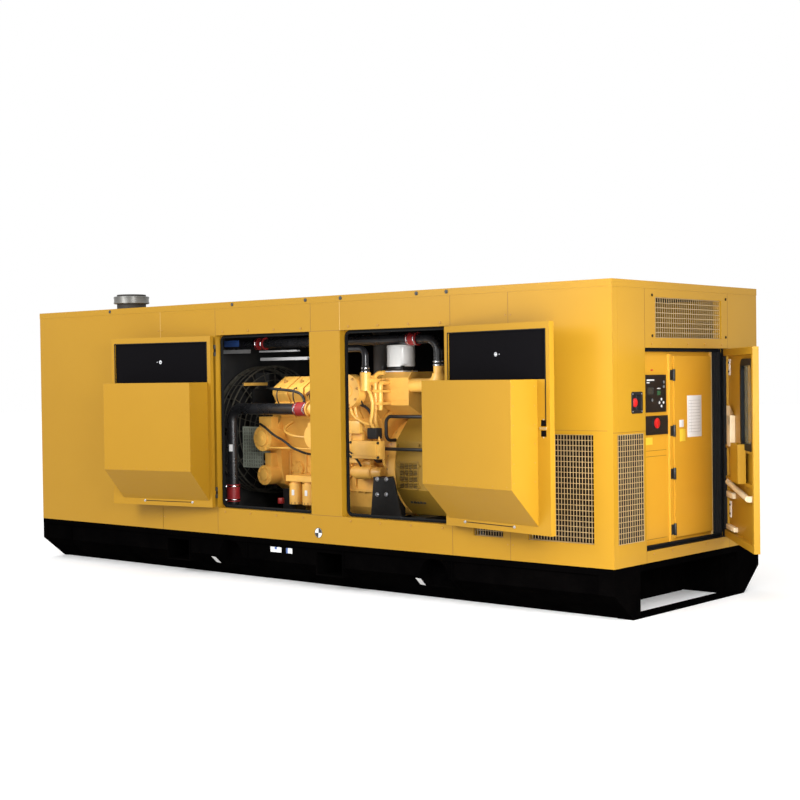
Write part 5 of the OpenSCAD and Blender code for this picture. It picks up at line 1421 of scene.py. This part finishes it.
# The wire cage is dark; its grey is partly painted sheen that stands for the glints along its wires.
guard_wire_painted_sheen = painted(
    "guard_wire_painted_sheen", (0.16, 0.15, 0.12), (0.08, 0.075, 0.06), patch=30.0, grain=400.0, roughness=0.35,
    spread=0.2, Metallic=0.4,
)
refine("fan_guard", guard_wire_painted_sheen, edge=0.0, angle=40)
guard_grey = painted(
    "guard_grey", (0.34, 0.37, 0.30), (0.44, 0.47, 0.38), patch=10.0, grain=300.0, roughness=0.42,
    spread=0.2,
)
refine("belt_guard", guard_grey, edge=0.0)
guard_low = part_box("belt_guard")[0]
WIRE_HALF, WIRE_PITCH = 0.0009, 0.0084
bm = bmesh.new()
for step in range(1, 32):
    x = guard_low.x + 0.006 + step * WIRE_PITCH
    add_box(bm, (x - WIRE_HALF, guard_low.y + 0.0012, guard_low.z + 0.004),
            (x + WIRE_HALF, guard_low.y + 0.0028, guard_low.z + 0.386))
for step in range(1, 46):
    z = guard_low.z + 0.004 + step * WIRE_PITCH
    add_box(bm, (guard_low.x + 0.004, guard_low.y + 0.0018, z - WIRE_HALF),
            (guard_low.x + 0.276, guard_low.y + 0.0034, z + WIRE_HALF))
finish_piece("belt_guard_mesh", bm, guard_grey)

# Grey channels that carry the pipes under the roof, and a blue film on one of them.
channel_grey = painted(
    "channel_grey", (0.34, 0.34, 0.34), (0.28, 0.28, 0.28), patch=9.0, roughness=0.5, spread=0.1
)
bm = bmesh.new()
for x0, x1, z, rise in (
    (-1.346, -1.002, 2.048, 0.035), (-0.841, -0.343, 2.052, 0.015), (-0.826, -0.208, 1.974, 0.027)
):
    add_box(bm, (x0, -0.500, z), (x1, -0.460, z + 0.004))
    for y in (-0.5015, -0.4615):
        add_box(bm, (x0, y, z), (x1, y + 0.002, z + rise))
finish_piece("pipe_channels", bm, channel_grey)
bm = bmesh.new()
add_box(bm, (-1.344, -0.4845, 2.113), (-1.139, -0.4805, 2.174), 0.001)
finish_piece("channel_film", bm, blue_film)

# Bracket bar and dark junction box on the fan guard's frame.
bm = bmesh.new()
add_box(bm, (-1.165, -0.423, 1.738), (-1.135, -0.112, 1.768), 0.003)
finish_piece("guard_bar", bm, casting)
bm = bmesh.new()
add_box(bm, (-1.180, -0.317, 1.564), (-1.120, -0.037, 1.706), 0.006)
finish_piece("junction_box", bm, hinge_black)


# ---- Cables ----
# Two bundles of copper leads, each in one black plastic sleeve. Both are fixed at their ends: one runs from
# the flywheel housing to the alternator, the other from the engine block to the alternator.
sleeve = painted(
    "cable_sleeve", (0.008, 0.0078, 0.0078), (0.015, 0.014, 0.013), patch=40.0, roughness=0.5, spread=0.2
)
refine("cables", sleeve, edge=0.0, angle=ROUND_ANGLE)


# ---- Silencer and exhaust ----
# A black drum stands near the far end over the radiator's discharge. Its outlet stub passes through the
# roof, with a dull two-beaded band clamp round it.
heat_black = painted(
    "heat_black", (0.018, 0.017, 0.016), (0.045, 0.036, 0.028), patch=3.0, grain=120.0, roughness=0.65,
    spread=0.25, bump=0.1,
)
refine("silencer", heat_black, edge=0.003, angle=ROUND_ANGLE)
dull_band = painted(
    "dull_band", (0.24, 0.24, 0.23), (0.17, 0.17, 0.16), patch=12.0, grain=260.0, roughness=0.40, spread=0.2,
    Metallic=0.8,
)
refine("exhaust_clamp", dull_band, edge=0.004, angle=ROUND_ANGLE)
clamp_low, clamp_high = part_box("exhaust_clamp")
clamp_x, clamp_y = (clamp_low.x + clamp_high.x) / 2, (clamp_low.y + clamp_high.y) / 2
clamp_r = (clamp_high.x - clamp_low.x) / 2
BEAD_H = 0.010
bm = bmesh.new()
for z in (clamp_low.z + 0.006, clamp_high.z - 0.016):
    middle = Matrix.Translation((clamp_x, clamp_y, z))
    ring = bmesh.ops.create_circle(bm, segments=64, radius=clamp_r, matrix=middle)["verts"]
    edges = list(dict.fromkeys(edge for vert in ring for edge in vert.link_edges))
    made = bmesh.ops.extrude_edge_only(bm, edges=edges)["geom"]
    raised = [part for part in made if isinstance(part, bmesh.types.BMVert)]
    bmesh.ops.translate(bm, vec=(0, 0, BEAD_H), verts=raised)
bmesh.ops.recalc_face_normals(bm, faces=bm.faces)
bmesh.ops.solidify(bm, geom=bm.faces[:], thickness=-0.004)
finish_piece("clamp_beads", bm, dull_band)
